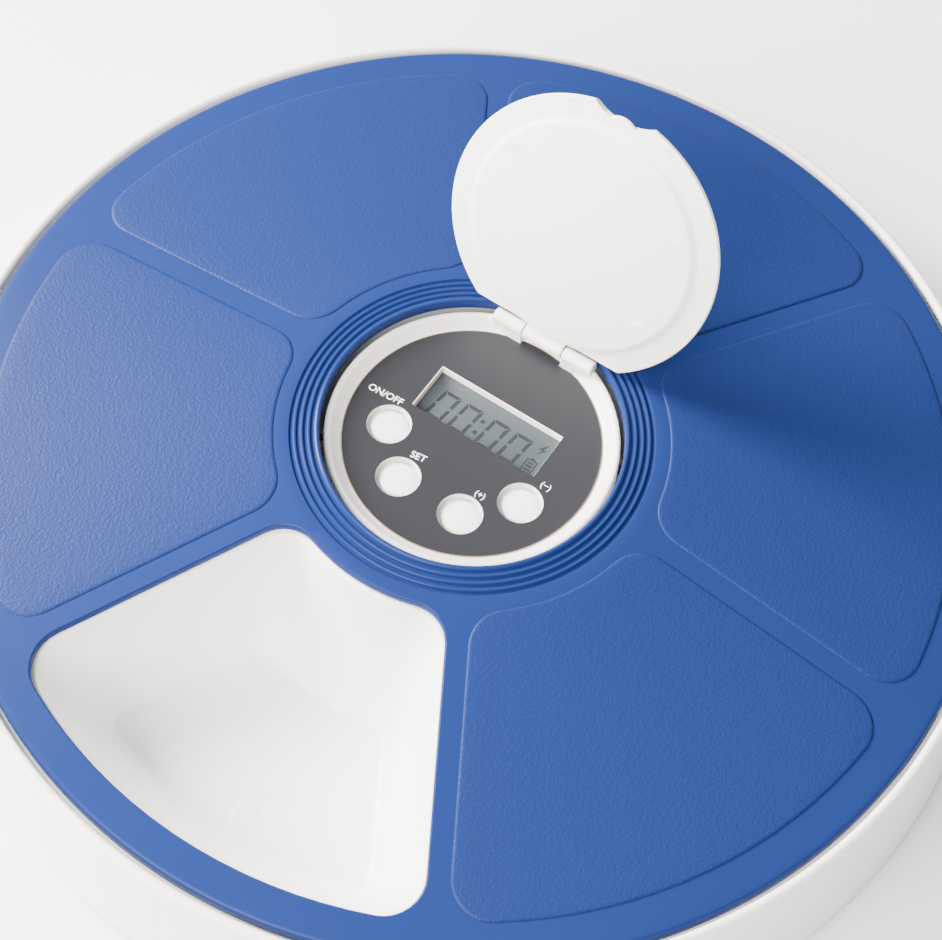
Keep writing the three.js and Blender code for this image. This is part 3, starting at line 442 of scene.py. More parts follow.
class Finish:
    """A material built from nodes that are added one at a time."""

    def __init__(self, name):
        self.material = bpy.data.materials.new(name)
        self.material.use_nodes = True
        self.tree = self.material.node_tree
        self.tree.nodes.clear()
        self.output = self.tree.nodes.new("ShaderNodeOutputMaterial")
        self.place = self.add("ShaderNodeTexCoord", "Object")

    def add(self, kind, output, settings=None, sockets=None):
        """Adds a node: its settings first, then the values or links of its sockets."""
        node = self.tree.nodes.new(kind)
        for key, value in (settings or {}).items():
            if key == "stops":
                self.set_stops(node.color_ramp, value)
            else:
                setattr(node, key, value)
        for key, value in (sockets or {}).items():
            if isinstance(value, Wire):
                self.tree.links.new(value.socket, node.inputs[key])
            else:
                node.inputs[key].default_value = value
        return Wire(self, node.outputs[output])

    def set_stops(self, ramp, stops):
        while len(ramp.elements) > 1:
            ramp.elements.remove(ramp.elements[-1])
        for i, (place, grey) in enumerate(stops):
            stop = ramp.elements[0] if i == 0 else ramp.elements.new(place)
            stop.position = place
            stop.color = (grey, grey, grey, 1.0)

    def noise(self, scale, detail=3.0, roughness=0.55, distortion=0.0, place=None):
        return self.add("ShaderNodeTexNoise", "Fac", None, {
            "Vector": place or self.place, "Scale": scale, "Detail": detail,
            "Roughness": roughness, "Distortion": distortion})

    def stretched(self, x, y, z):
        return self.add(
            "ShaderNodeMapping", "Vector", None, {"Vector": self.place, "Scale": (x, y, z)})

    def ramp(self, value, stops):
        return self.add("ShaderNodeValToRGB", "Color", {"stops": stops}, {"Fac": value})

    def blend(self, share, first, second):
        return self.add("ShaderNodeMix", 2, {"data_type": "RGBA"}, {0: share, 6: first, 7: second})

    def bump(self, height, distance, strength=1.0):
        return self.add("ShaderNodeBump", "Normal", None, {
            "Height": height, "Distance": distance, "Strength": strength})

    def surface(self, **sockets):
        names = {key.replace("_", " ").title().replace("Ior", "IOR"): value
                 for key, value in sockets.items()}
        shader = self.add("ShaderNodeBsdfPrincipled", "BSDF", None, names)
        self.tree.links.new(shader.socket, self.output.inputs["Surface"])
        return self.material


def tint(rgb, factor):
    return (rgb[0] * factor, rgb[1] * factor, rgb[2] * factor, 1.0)


def moulded_plastic(name, rgb, roughness=0.33, grain=0.00002, warm=0.97):
    """Satin moulded plastic: faint clouding, a fine spark-eroded grain and light rubbing."""
    finish = Finish(name)
    clouds = finish.noise(14.0, 4.0)
    rubbed = finish.ramp(finish.noise(60.0, 5.0, 0.6, 0.6), [(0.35, 0.0), (0.7, 1.0)])
    fine = finish.noise(2600.0, 2.0)
    base = finish.blend(clouds, tint(rgb, warm), tint(rgb, 1.03))
    return finish.surface(
        base_color=base,
        roughness=clouds * 0.06 + rubbed * 0.05 + (roughness - 0.05),
        normal=finish.bump(fine, grain, 0.6))


def glossy_blue(name, rgb):
    """Polished blue plastic with faint flow marks and hairline rubbing."""
    finish = Finish(name)
    flow = finish.noise(9.0, 3.0, 0.5, 1.2)
    hair = finish.noise(700.0, 2.0, 0.5, 0.0, finish.stretched(0.04, 1.0, 1.0))
    return finish.surface(
        base_color=finish.blend(flow, tint(rgb, 0.93), tint(rgb, 1.08)),
        roughness=flow * 0.05 + hair * 0.06 + 0.24,
        specular_ior_level=0.08,
        normal=finish.bump(finish.noise(160.0, 2.0), 0.00006, 0.35))


def grained_blue(name, rgb):
    """The same blue with a leathery orange-peel grain."""
    finish = Finish(name)
    wander = finish.add("ShaderNodeTexNoise", "Color", None, {
        "Vector": finish.place, "Scale": 900.0, "Detail": 2.0})
    moved = finish.add("ShaderNodeMix", 1, {"data_type": "VECTOR"}, {
        0: 0.0010, 4: finish.place, 5: wander})
    cells = finish.add("ShaderNodeTexVoronoi", "Distance", {"feature": "SMOOTH_F1"}, {
        "Vector": moved, "Scale": 1150.0, "Smoothness": 0.8, "Randomness": 1.0})
    peel = finish.noise(1900.0, 3.0, 0.55)
    height = cells * 0.9 + peel * 0.8
    flow = finish.noise(9.0, 3.0, 0.5, 1.2)
    valley = finish.ramp(height, [(0.35, 1.0), (0.9, 0.0)])
    return finish.surface(
        base_color=finish.blend(valley * 0.4 + flow * 0.3, tint(rgb, 0.92), tint(rgb, 1.12)),
        roughness=peel * 0.10 + 0.36,
        specular_ior_level=0.08,
        normal=finish.bump(height, 0.00016, 0.5))


def label_film(name, rgb):
    """Dark printed film with a fine speckle and a few long hairline scratches."""
    finish = Finish(name)
    speck = finish.noise(3200.0, 1.0)
    cloud = finish.noise(22.0, 4.0)
    scratch = finish.ramp(
        finish.noise(90.0, 2.0, 0.5, 0.4, finish.stretched(1.0, 0.05, 1.0)),
        [(0.705, 0.0), (0.735, 1.0)])
    return finish.surface(
        base_color=finish.blend(cloud * 0.5 + speck * 0.3, tint(rgb, 0.94), tint(rgb, 1.1)),
        roughness=cloud * 0.08 + scratch * 0.06 + 0.30,
        normal=finish.bump(speck - scratch * 0.6, 0.00001, 0.5))


# Flat matte colour with a patchy tone: the printed legends and display segments, and also the painted shade
# ring round the label.
def print_and_painted_shade(name, rgb):
    finish = Finish(name)
    patchy = finish.noise(2400.0, 2.0)
    return finish.surface(
        base_color=finish.blend(patchy, tint(rgb, 0.9), tint(rgb, 1.05)),
        roughness=patchy * 0.1 + 0.45)


def liquid_crystal(name, rgb):
    """The reflective back of the display under its polarising film."""
    finish = Finish(name)
    cloud = finish.noise(45.0, 3.0)
    fine = finish.noise(5200.0, 1.0)
    return finish.surface(
        base_color=finish.blend(cloud * 0.7 + fine * 0.3, tint(rgb, 0.92), tint(rgb, 1.08)),
        roughness=fine * 0.06 + 0.22,
        normal=finish.bump(fine, 0.000004, 0.4))


def brushed_metal(name, rgb, roughness=0.32):
    finish = Finish(name)
    lines = finish.noise(900.0, 3.0, 0.6, 0.0, finish.stretched(1.0, 1.0, 0.06))
    spots = finish.noise(80.0, 4.0)
    return finish.surface(
        base_color=finish.blend(spots, tint(rgb, 0.85), tint(rgb, 1.05)),
        metallic=1.0,
        roughness=lines * 0.18 + (roughness - 0.05),
        normal=finish.bump(lines, 0.00001, 0.5))


def soft_rubber(name, rgb):
    finish = Finish(name)
    dust = finish.noise(500.0, 5.0, 0.7)
    return finish.surface(
        base_color=finish.blend(dust * 0.5, tint(rgb, 0.9), tint(rgb, 1.9)),
        roughness=dust * 0.1 + 0.72,
        normal=finish.bump(dust, 0.00003, 0.6))


def circuit_board(name, rgb):
    """Green solder mask with paler traces that run on a grid."""
    finish = Finish(name)
    cells = finish.add("ShaderNodeTexBrick", "Fac", {"offset": 0.5}, {
        "Vector": finish.place, "Scale": 260.0, "Mortar Size": 0.03, "Mortar Smooth": 0.2})
    patch = finish.noise(120.0, 2.0) > 0.52
    return finish.surface(
        base_color=finish.blend(cells * patch * 0.6, tint(rgb, 1.0), tint(rgb, 2.0)),
        roughness=finish.noise(300.0) * 0.1 + 0.38,
        normal=finish.bump(cells, 0.00004, 0.5))


def cell_jacket(name, rgb):
    """A printed battery jacket: a dark body with a coppery band near one end."""
    finish = Finish(name)
    parts = finish.add("ShaderNodeSeparateXYZ", "X", None, {"Vector": finish.place})
    band = parts > 0.012
    shine = finish.noise(300.0, 3.0)
    return finish.surface(
        base_color=finish.blend(band, tint(rgb, 1.0), (0.42, 0.20, 0.08, 1.0)),
        metallic=band * 0.7,
        roughness=shine * 0.12 + 0.26)


# ------------------------------------------------------------------ repeated pieces


def tree_input(tree, name, kind, value=None):
    socket = tree.interface.new_socket(name, in_out="INPUT", socket_type=kind)
    if value is not None:
        socket.default_value = value
    return socket


def new_tree(name):
    """A tree with the inputs that all of them share."""
    tree = bpy.data.node_groups.new(name, "GeometryNodeTree")
    tree.interface.new_socket("Geometry", in_out="OUTPUT", socket_type="NodeSocketGeometry")
    tree_input(tree, "Piece", "NodeSocketObject")
    tree_input(tree, "Finish", "NodeSocketMaterial")
    tree_input(tree, "Count", "NodeSocketInt", 4)
    return tree


def end_tree(tree, links, instances, finish):
    real = tree.nodes.new("GeometryNodeRealizeInstances")
    paint = tree.nodes.new("GeometryNodeSetMaterial")
    out = tree.nodes.new("NodeGroupOutput")
    links.new(instances, real.inputs[0])
    links.new(real.outputs[0], paint.inputs["Geometry"])
    links.new(finish, paint.inputs["Material"])
    links.new(paint.outputs["Geometry"], out.inputs[0])


def maths_node(tree, operation, first, second):
    node = tree.nodes.new("ShaderNodeMath")
    node.operation = operation
    for socket, value in zip(node.inputs, (first, second)):
        if isinstance(value, bpy.types.NodeSocket):
            tree.links.new(value, socket)
        elif value is not None:
            socket.default_value = value
    return node.outputs[0]


def circle_tree():
    """Copies of a piece on an arc: Count of them, Step apart, from Turn, on Circle."""
    tree = new_tree("pieces on a circle")
    tree_input(tree, "Circle", "NodeSocketFloat", 0.1)
    tree_input(tree, "Turn", "NodeSocketFloat", 0.0)
    tree_input(tree, "Step", "NodeSocketFloat", 1.0)
    links = tree.links
    given = tree.nodes.new("NodeGroupInput")
    line = tree.nodes.new("GeometryNodeMeshLine")
    line.mode = "OFFSET"
    line.inputs["Offset"].default_value = (0.0, 0.0, 0.0)
    links.new(given.outputs["Count"], line.inputs["Count"])
    index = tree.nodes.new("GeometryNodeInputIndex")
    swing = maths_node(tree, "MULTIPLY", index.outputs[0], given.outputs["Step"])
    turn = maths_node(tree, "ADD", swing, given.outputs["Turn"])
    where = tree.nodes.new("ShaderNodeCombineXYZ")
    links.new(maths_node(
        tree, "MULTIPLY", maths_node(tree, "COSINE", turn, None), given.outputs["Circle"]), where.inputs["X"])
    links.new(maths_node(
        tree, "MULTIPLY", maths_node(tree, "SINE", turn, None), given.outputs["Circle"]), where.inputs["Y"])
    move = tree.nodes.new("GeometryNodeSetPosition")
    links.new(line.outputs[0], move.inputs["Geometry"])
    links.new(where.outputs[0], move.inputs["Position"])
    facing = tree.nodes.new("ShaderNodeCombineXYZ")
    links.new(turn, facing.inputs["Z"])
    source = tree.nodes.new("GeometryNodeObjectInfo")
    links.new(given.outputs["Piece"], source.inputs["Object"])
    copies = tree.nodes.new("GeometryNodeInstanceOnPoints")
    links.new(move.outputs["Geometry"], copies.inputs["Points"])
    links.new(source.outputs["Geometry"], copies.inputs["Instance"])
    links.new(facing.outputs[0], copies.inputs["Rotation"])
    end_tree(tree, links, copies.outputs["Instances"], given.outputs["Finish"])
    return tree


def row_tree():
    """Copies of a piece in a row: Count of them, Spacing apart."""
    tree = new_tree("pieces in a row")
    tree_input(tree, "Spacing", "NodeSocketVector", (0.0, 0.002, 0.0))
    links = tree.links
    given = tree.nodes.new("NodeGroupInput")
    line = tree.nodes.new("GeometryNodeMeshLine")
    line.mode = "OFFSET"
    links.new(given.outputs["Count"], line.inputs["Count"])
    links.new(given.outputs["Spacing"], line.inputs["Offset"])
    source = tree.nodes.new("GeometryNodeObjectInfo")
    links.new(given.outputs["Piece"], source.inputs["Object"])
    copies = tree.nodes.new("GeometryNodeInstanceOnPoints")
    links.new(line.outputs[0], copies.inputs["Points"])
    links.new(source.outputs["Geometry"], copies.inputs["Instance"])
    end_tree(tree, links, copies.outputs["Instances"], given.outputs["Finish"])
    return tree


def repeat(name, tree, piece, finish, **values):
    """One plain mesh of all the copies that the tree makes of a piece."""
    mesh = bpy.data.meshes.new(name)
    host = bpy.data.objects.new(name, mesh)
    bpy.context.scene.collection.objects.link(host)
    step = host.modifiers.new("copies", "NODES")
    step.node_group = tree
    sockets = {
        item.name: item.identifier for item in tree.interface.items_tree
        if item.item_type == "SOCKET" and item.in_out == "INPUT"}
    step[sockets["Piece"]] = piece
    step[sockets["Finish"]] = finish
    for key, value in values.items():
        step[sockets[key]] = value
    settle(host)
    bpy.data.objects.remove(piece)
    return host


# ------------------------------------------------------------------ pieces


def cone_height(sizes):
    """The lid's top surface as a function of the radius."""
    slope = sizes.rise / (sizes.radius - sizes.hole)
    return lambda r: sizes.edge_top + slope * (sizes.radius - r)


def under_lid(context):
    """The tray's top surface as a function of the radius."""
    lid = context.scene.feeder.lid
    top = cone_height(lid)
    return lambda r: top(r) - lid.skin - 0.8 * MM


def finishes():
    return {m.name: m for m in bpy.data.materials}


class FEEDER_OT_finishes(bpy.types.Operator):
    """Makes the materials that the pieces share"""

    bl_idname = "feeder.finishes"
    bl_label = "Finishes"

    def execute(self, context):
        feeder = context.scene.feeder
        moulded_plastic("shell white", feeder.base.white)
        moulded_plastic("tray white", feeder.tray.white, 0.27, 0.000012)
        moulded_plastic("button white", (0.87, 0.86, 0.84), 0.36, 0.00003)
        moulded_plastic("natural acetal", (0.76, 0.74, 0.68), 0.42, 0.00003)
        moulded_plastic("black plastic", (0.02, 0.02, 0.022), 0.45, 0.00005)
        glossy_blue("polished blue", feeder.lid.blue)
        grained_blue("grained blue", feeder.lid.blue)
        label_film("label film", feeder.panel.grey)
        print_and_painted_shade("legend ink", feeder.panel.print_white)
        print_and_painted_shade("segment ink", feeder.panel.segment)
        # Brown painted shade for the shadowed cut edge of the label and the fine gap round it.
        print_and_painted_shade("seam glue", (0.33, 0.24, 0.15))
        moulded_plastic("bezel white", (0.87, 0.86, 0.83), 0.4)
        # A darker copy of the white bezel plastic: painted shade for the window's shaded left wall.
        moulded_plastic("bezel beige", (0.55, 0.50, 0.42), 0.4)
        liquid_crystal("liquid crystal", feeder.panel.crystal)
        brushed_metal("zinc plate", (0.62, 0.62, 0.64))
        soft_rubber("foot rubber", (0.035, 0.035, 0.036))
        circuit_board("solder mask", (0.02, 0.13, 0.05))
        cell_jacket("cell jacket", (0.04, 0.045, 0.055))
        return {"FINISHED"}


class FEEDER_OT_base(bpy.types.Operator):
    """Makes the shell of the base with its tub, ledge and rolled rim"""

    bl_idname = "feeder.base"
    bl_label = "Base shell"

    def execute(self, context):
        sizes = context.scene.feeder.base
        lid = context.scene.feeder.lid
        low = BASE_LOW[2]
        rim_top = lid.edge_top
        ledge_top = rim_top - 4.4 * MM
        ledge_under = ledge_top - 2.2 * MM
        ledge_inner = sizes.inner - 6.2 * MM
        tub_foot = ledge_inner - 1.5 * MM
        under = sizes.floor - 2.2 * MM
        slope = (sizes.foot - sizes.rim) / (rim_top - low)
        roll = 1.3 * MM
        middle = sizes.inner + roll
        outer_roll = sizes.rim - middle
        profile = [
            (sizes.foot - sizes.wall, low),
            (sizes.rim + slope * (rim_top - ledge_under) - sizes.wall, ledge_under),
            (ledge_inner + 2.2 * MM, ledge_under),
            (tub_foot + 2.2 * MM, under),
            (sizes.column, under),
            (sizes.column, UNDER_PLATE_LOW),
            (sizes.column - COLUMN_WALL, UNDER_PLATE_LOW),
            (sizes.column - COLUMN_WALL, 52.0 * MM),
            (sizes.column, 52.0 * MM),
            (sizes.column, sizes.floor),
            (98.0 * MM, sizes.floor),
            (98.0 * MM, 16.9 * MM),
            (102.0 * MM, 16.9 * MM),
            (102.0 * MM, sizes.floor)]
        profile += [(tub_foot - 2.5 * MM + 2.5 * MM * math.sin(a), sizes.floor + 2.5 * MM * (1 - math.cos(a)))
                    for a in (0.0, 0.4, 0.8, 1.2, 1.57)]
        profile += [(ledge_inner, ledge_top), (sizes.inner, ledge_top)]
        profile += arc(middle, rim_top - roll, roll, math.pi, math.pi / 2, 6)
        profile += arc(middle, rim_top - outer_roll, outer_roll, math.pi / 2, 0, 6)[1:]
        profile += [(sizes.rim + slope * (rim_top - z), z) for z in (0.040, 0.030, 0.020, 0.010)]
        profile += [(sizes.foot - 0.1 * MM, low + 1.2 * MM), (sizes.foot - 0.7 * MM, low)]
        shell = solid("base_shell_fine", lambda mesh: add_turned(mesh, profile, 288))
        cutters = []
        for turn in BAYONET_TURNS:
            start = math.radians(turn - 5.2)
            stop = math.radians(turn + 3.2)
            outside = arc(0, 0, 150.2 * MM, start, stop, 10)
            inside = arc(0, 0, 147.6 * MM, stop, start, 10)
            loop = [Vector(p).to_3d() for p in outside + inside]
            past = 2 * MM
            rings = [
                [p + Vector((0, 0, z)) for p in loop] for z in (ledge_under - past, ledge_top + past)]
            cutters.append(solid("bayonet slot", lambda mesh: add_rings(mesh, rings)))
        reach = 14.7 * MM
        cutters.append(brick("pinion window", (-reach, 20 * MM, 24.5 * MM), (reach, 44 * MM, 33.5 * MM)))
        inlet = solid("inlet hole", lambda mesh: add_rod_x(mesh, 4 * MM, 153 * MM, 162 * MM, 0, 20 * MM))
        inlet.data.transform(Matrix.Rotation(math.pi / 2, 4, "Z"))
        cutters.append(inlet)
        carve(shell, cutters)
        feet = [post("foot boss", 10 * MM, low, under + 0.5 * MM, x, y, 64) for x, y in self.foot_places()]
        dishes = [post("foot pocket", 8.3 * MM, low - MM, low + MM, x, y, 64) for x, y in self.foot_places()]
        carve(shell, feet, "UNION")
        carve(shell, dishes)
        dress(shell, finishes()["shell white"], "base", ["base_shell"])
        self.mould_line(sizes, slope, rim_top)
        return {"FINISHED"}

    def foot_places(self):
        x = centre_of("foot_1")[0]
        return [(x * sx, x * sy) for sx, sy in CORNERS]

    def mould_line(self, sizes, slope, rim_top):
        """A thin raised line down the front, as a mould's split leaves it."""
        half = sizes.mould_line / 2
        x = 4.0 * MM
        rings = []
        for z, proud in ((0.0080, 0.0), (0.0105, 0.08), (0.0240, 0.10), (0.0400, 0.08), (0.0440, 0.0)):
            r = sizes.rim + slope * (rim_top - z)
            out = r + proud * MM
            back = r - 0.3 * MM
            rings.append([
                Vector((x + dx, -math.sqrt(reach ** 2 - (x + dx) ** 2), z))
                for dx, reach in ((-half, back), (0.0, out), (half, back))])
        line = solid("mould_line", lambda mesh: add_rings(mesh, rings))
        dress(line, finishes()["shell white"], "base", ())


class FEEDER_OT_lid(bpy.types.Operator):
    """Makes the blue lid with its window, its grooves and its grained pads"""

    bl_idname = "feeder.lid"
    bl_label = "Lid"

    def execute(self, context):
        sizes = context.scene.feeder.lid
        top = cone_height(sizes)
        self.shell(sizes, top)
        for i in range(1, 6):
            self.pad(sizes, top, i)
        return {"FINISHED"}

    def shell(self, sizes, top):
        def under(r):
            return top(r) - sizes.skin
        lip = sizes.hole + 2.2 * MM
        skirt = sizes.radius - 2.4 * MM
        low = 44.9 * MM
        bevel = 1.3 * MM
        edge = sizes.radius - bevel
        profile = [
            (sizes.hole, top(sizes.hole) - 3.4 * MM), (lip, top(lip) - 3.4 * MM), (lip, under(lip)),
            (95 * MM, under(95 * MM)), (skirt, under(skirt)), (skirt, low), (sizes.radius, low),
            (sizes.radius, sizes.edge_top - bevel)]
        profile += [
            (edge + bevel * math.cos(a), sizes.edge_top - bevel + (bevel + 0.15 * MM) * math.sin(a))
            for a in (0.35, 0.7, 1.05, 1.35)]
        profile += [(edge - 0.4 * MM, top(edge - 0.4 * MM))]
        profile += [(r * MM, top(r * MM)) for r in (146, 140, 130, 115, 100, 85, 70, 60, 56)]
        for i in reversed(range(sizes.groove_count)):
            middle = sizes.groove_first + i * sizes.groove_pitch
            half = sizes.groove_width / 2
            land = sizes.groove_pitch / 2 - half
            crest = middle + sizes.groove_pitch / 2
            profile += [
                (crest + land * 0.2, top(crest) + 0.02 * MM),
                (middle + half + 0.18 * MM, top(middle + half) - 0.08 * MM),
                (middle + half, top(middle) - 0.35 * MM),
                (middle + half * 0.55, top(middle) - sizes.groove_depth),
                (middle - half * 0.55, top(middle) - sizes.groove_depth),
                (middle - half, top(middle) - 0.35 * MM),
                (middle - half - 0.18 * MM, top(middle - half) - 0.08 * MM)]
        profile += [
            (sizes.hole + 0.9 * MM, top(sizes.hole)),
            (sizes.hole + 0.3 * MM, top(sizes.hole) - 0.15 * MM),
            (sizes.hole, top(sizes.hole) - 0.6 * MM)]
        shell = solid("lid_shell", lambda mesh: add_turned(mesh, profile, 288))
        rings = []
        for grow, height in (
                (0.0, None), (0.0, -0.7), (0.12, -0.32), (0.35, -0.08), (0.75, 0.12), (0.9, 3.0)):
            outline = sector_outline(
                sizes.window_inner - grow * MM, sizes.window_outer + grow * MM,
                sizes.spoke - grow * MM, sizes.corner + grow * MM, FRONT)
            if height is None:
                rings.append(lift(outline, 40 * MM))
            else:
                rings.append(lift(outline, lambda r, h=height: top(r) + h * MM))
        window = solid("lid window", lambda mesh: add_rings(mesh, rings))
        carve(shell, [window])
        hooks = []
        for turn in BAYONET_TURNS:
            for low_z, high_z, sweep in ((40.5, 46.0, 3.0), (40.5, 42.1, 7.0)):
                outside = arc(0, 0, 149.8 * MM, math.radians(turn), math.radians(turn + sweep), 6)
                inside = arc(0, 0, 148.0 * MM, math.radians(turn + sweep), math.radians(turn), 6)
                loop = [Vector(p).to_3d() for p in outside + inside]
                bits = [[p + Vector((0, 0, z * MM)) for p in loop] for z in (low_z, high_z)]
                hooks.append(solid("hook", lambda mesh: add_rings(mesh, bits)))
        carve(shell, hooks, "UNION")
        dress(shell, finishes()["polished blue"], "lid", ["lid"], 24.0)

    def pad(self, sizes, top, number):
        facing = FRONT + number * SECTOR
        rings = []
        inset = 0.1
        for extra, height in ((0.0, -0.6), (0.0, 0.02), (0.12, 0.16), (0.35, 0.30), (0.7, 0.39), (1.1, 0.42)):
            away = (inset + extra) * MM
            outline = sector_outline(
                sizes.window_inner + away, sizes.window_outer - away, sizes.spoke + away,
                sizes.corner - away, facing)
            rise = height * MM if height < 0 else height * sizes.pad_rise / 0.42
            rings.append(lift(outline, lambda r, h=rise: top(r) + h))
        edge = rings[-1]
        middle = Vector((math.cos(facing), math.sin(facing))) * 103 * MM
        for share in (0.1, 0.25, 0.42, 0.6, 0.78, 0.93):
            rings.append(shrink_towards(edge, middle, share, lambda r: top(r) + sizes.pad_rise))
        pad = solid(f"lid_pad_{number}", lambda mesh: add_rings(mesh, rings))
        dress(pad, finishes()["grained blue"], "lid", (), 50.0)


class FEEDER_OT_tray(bpy.types.Operator):
    """Makes the tray: six lipped compartments, the deck between them and the drive ring"""

    bl_idname = "feeder.tray"
    bl_label = "Food tray"

    def execute(self, context):
        sizes = context.scene.feeder.tray
        top = under_lid(context)
        deck = self.deck(sizes, top)
        holes = []
        for i in range(6):
            outline = sector_outline(
                sizes.mouth_inner - 1.0 * MM, sizes.mouth_outer + 1.0 * MM, sizes.mouth_side - 1.0 * MM,
                sizes.mouth_corner + 1.0 * MM, FRONT + i * SECTOR)
            rings = [lift(outline, 20 * MM), lift(outline, 75 * MM)]
            holes.append(solid("mouth", lambda mesh: add_rings(mesh, rings)))
        carve(deck, holes)
        dress(deck, finishes()["tray white"], "tray", ())
        bowls = bmesh.new()
        for i in range(6):
            add_rings(bowls, self.bowl(sizes, top, FRONT + i * SECTOR))
        bowls = object_from(bowls, "tray_bowls")
        dress(bowls, finishes()["tray white"], "tray", ["food_tray"], 50.0)
        ring = self.drive_ring()
        dress(ring, finishes()["tray white"], "tray", ())
        self.floor_strip(sizes)
        return {"FINISHED"}

    def deck(self, sizes, top):
        inner = RING_ROOT * MM
        collar = RING_COLLAR * MM
        rim = sizes.outer - sizes.skin
        gear_top = GEAR_LOW + GEAR_FACE
        skin = sizes.skin
        profile = [
            (inner, top(inner)), (inner, gear_top), (collar, gear_top), (collar, top(collar) - skin),
            (95 * MM, top(95 * MM) - skin), (rim, top(rim) - skin), (rim, top(rim) - 5 * MM),
            (sizes.outer, top(rim) - 5 * MM), (sizes.outer, top(sizes.outer)), (95 * MM, top(95 * MM))]
        return solid("tray_deck", lambda mesh: add_turned(mesh, profile, 192))

    def bowl(self, sizes, top, facing):
        """Rings from the middle of the floor, up the wall, over the lip and back underneath."""
        def outline(share, grow):
            def mix(floor, mouth):
                return floor + (mouth - floor) * share

            return sector_outline(
                mix(sizes.floor_inner, sizes.mouth_inner) - grow,
                mix(sizes.floor_outer, sizes.mouth_outer) + grow,
                mix(sizes.floor_side, sizes.mouth_side) - grow,
                mix(sizes.floor_corner, sizes.mouth_corner) + grow,
                facing)

        def wall(share, grow, drop=0.0):
            foot = sizes.floor + sizes.fillet
            return lift(outline(share, grow), lambda r: foot + (top(r) - drop - foot) * share)
        fillet = sizes.fillet
        inside = []
        for s in (1.0, 0.8, 0.6, 0.4, 0.2):
            a = s * math.pi / 2
            rise = fillet * (1 - math.cos(math.pi / 2 - a))
            inside.append(lift(outline(0, -fillet * math.sin(a) * 0.92), sizes.floor + rise))
        floor_edge = inside[0]
        middle = Vector((math.cos(facing), math.sin(facing))) * FLOOR_MIDDLE
        centre = [
            shrink_towards(floor_edge, middle, s, lambda r: sizes.floor) for s in (0.96, 0.6, 0.3, 0.1)]
        rings = centre + inside
        rings += [wall(s, 0.0, sizes.lip) for s in (0.0, 0.2, 0.4, 0.6, 0.8, 1.0)]
        for a in (0.4, 0.8, 1.2, 1.57):
            grow = sizes.lip * (1 - math.cos(a))
            rise = sizes.lip * (1 - math.sin(a))
            rings.append(lift(outline(1, grow), lambda r, d=rise: top(r) - d))
        rings.append(lift(outline(1, sizes.skin), lambda r: top(r) - 0.1 * MM))
        rings += [wall(s, sizes.skin, sizes.lip) for s in (0.95, 0.6, 0.3, 0.0)]
        rings.append(lift(outline(0, sizes.skin * 0.3), sizes.floor + 0.4 * MM))
        under = lift(outline(0, -fillet + sizes.skin * 0.5), sizes.floor - sizes.skin)
        rings.append(under)
        rings.append(shrink_towards(under, middle, 0.5, lambda r: sizes.floor - sizes.skin))
        rings.append(shrink_towards(under, middle, 0.96, lambda r: sizes.floor - sizes.skin))
        return rings

    def drive_ring(self):
        """The ring of internal teeth on its smooth collar."""
        points = []
        for i in range(RING_TEETH):
            middle = math.pi / 2 + TAU * i / RING_TEETH
            points += [(r, middle - math.radians(half)) for r, half in RING_FLANK]
            points += [(r, middle + math.radians(half)) for r, half in reversed(RING_FLANK)]
        inner = [(r * MM * math.cos(a), r * MM * math.sin(a)) for r, a in points]
        outer = [
            (RING_COLLAR * MM * math.cos(a), RING_COLLAR * MM * math.sin(a)) for _, a in points]
        low, high = GEAR_LOW, GEAR_LOW + GEAR_FACE
        rings = [[Vector((x, y, z)) for x, y in loop] for loop, z in (
            (inner, low), (outer, low), (outer, high), (inner, high))]
        mesh = bmesh.new()
        add_rings(mesh, rings, closed=True)
        return object_from(mesh, "tray_drive_ring")

    def floor_strip(self, sizes):
        """A shallow embossed strip along the middle of each compartment's floor."""
        half, rise, edge = 3.0, 0.10, 0.25
        loops = [
            arc(117.5, 0.0, r, -math.pi / 2, math.pi / 2, 8)
            + arc(82.0, 0.0, r, math.pi / 2, 3 * math.pi / 2, 8) for r in (half, half, half - edge)]
        heights = (sizes.floor - 0.3 * MM, sizes.floor, sizes.floor + rise * MM)
        mesh = bmesh.new()
        for i in range(6):
            turn = Matrix.Rotation(FRONT + i * SECTOR + math.radians(1.7), 3, "Z")
            add_rings(mesh, [
                [turn @ Vector((x * MM, y * MM, z)) for x, y in loop]
                for loop, z in zip(loops, heights)])
        strip = object_from(mesh, "tray_floor_strips")
        dress(strip, finishes()["tray white"], "tray", (), 20.0)


BUTTON_TURNS = {
    "button_on_off": -67.9, "button_set": -25.7, "button_plus": 25.7, "button_minus": 67.9}


def button_place(sizes, name):
    turn = FRONT + math.radians(BUTTON_TURNS[name])
    return sizes.button_circle * math.cos(turn), sizes.button_circle * math.sin(turn)


def panel_openings(sizes, spare, low, high):
    cutters = [
        post("button hole", 6.4 * MM + spare, low, high, *button_place(sizes, name), 64)
        for name in BUTTON_TURNS]
    half = sizes.window_width / 2 + spare
    tall = sizes.window_height / 2 + spare
    cutters.append(brick(
        "display window", (-half, sizes.window_y - tall, low), (half, sizes.window_y + tall, high)))
    return cutters


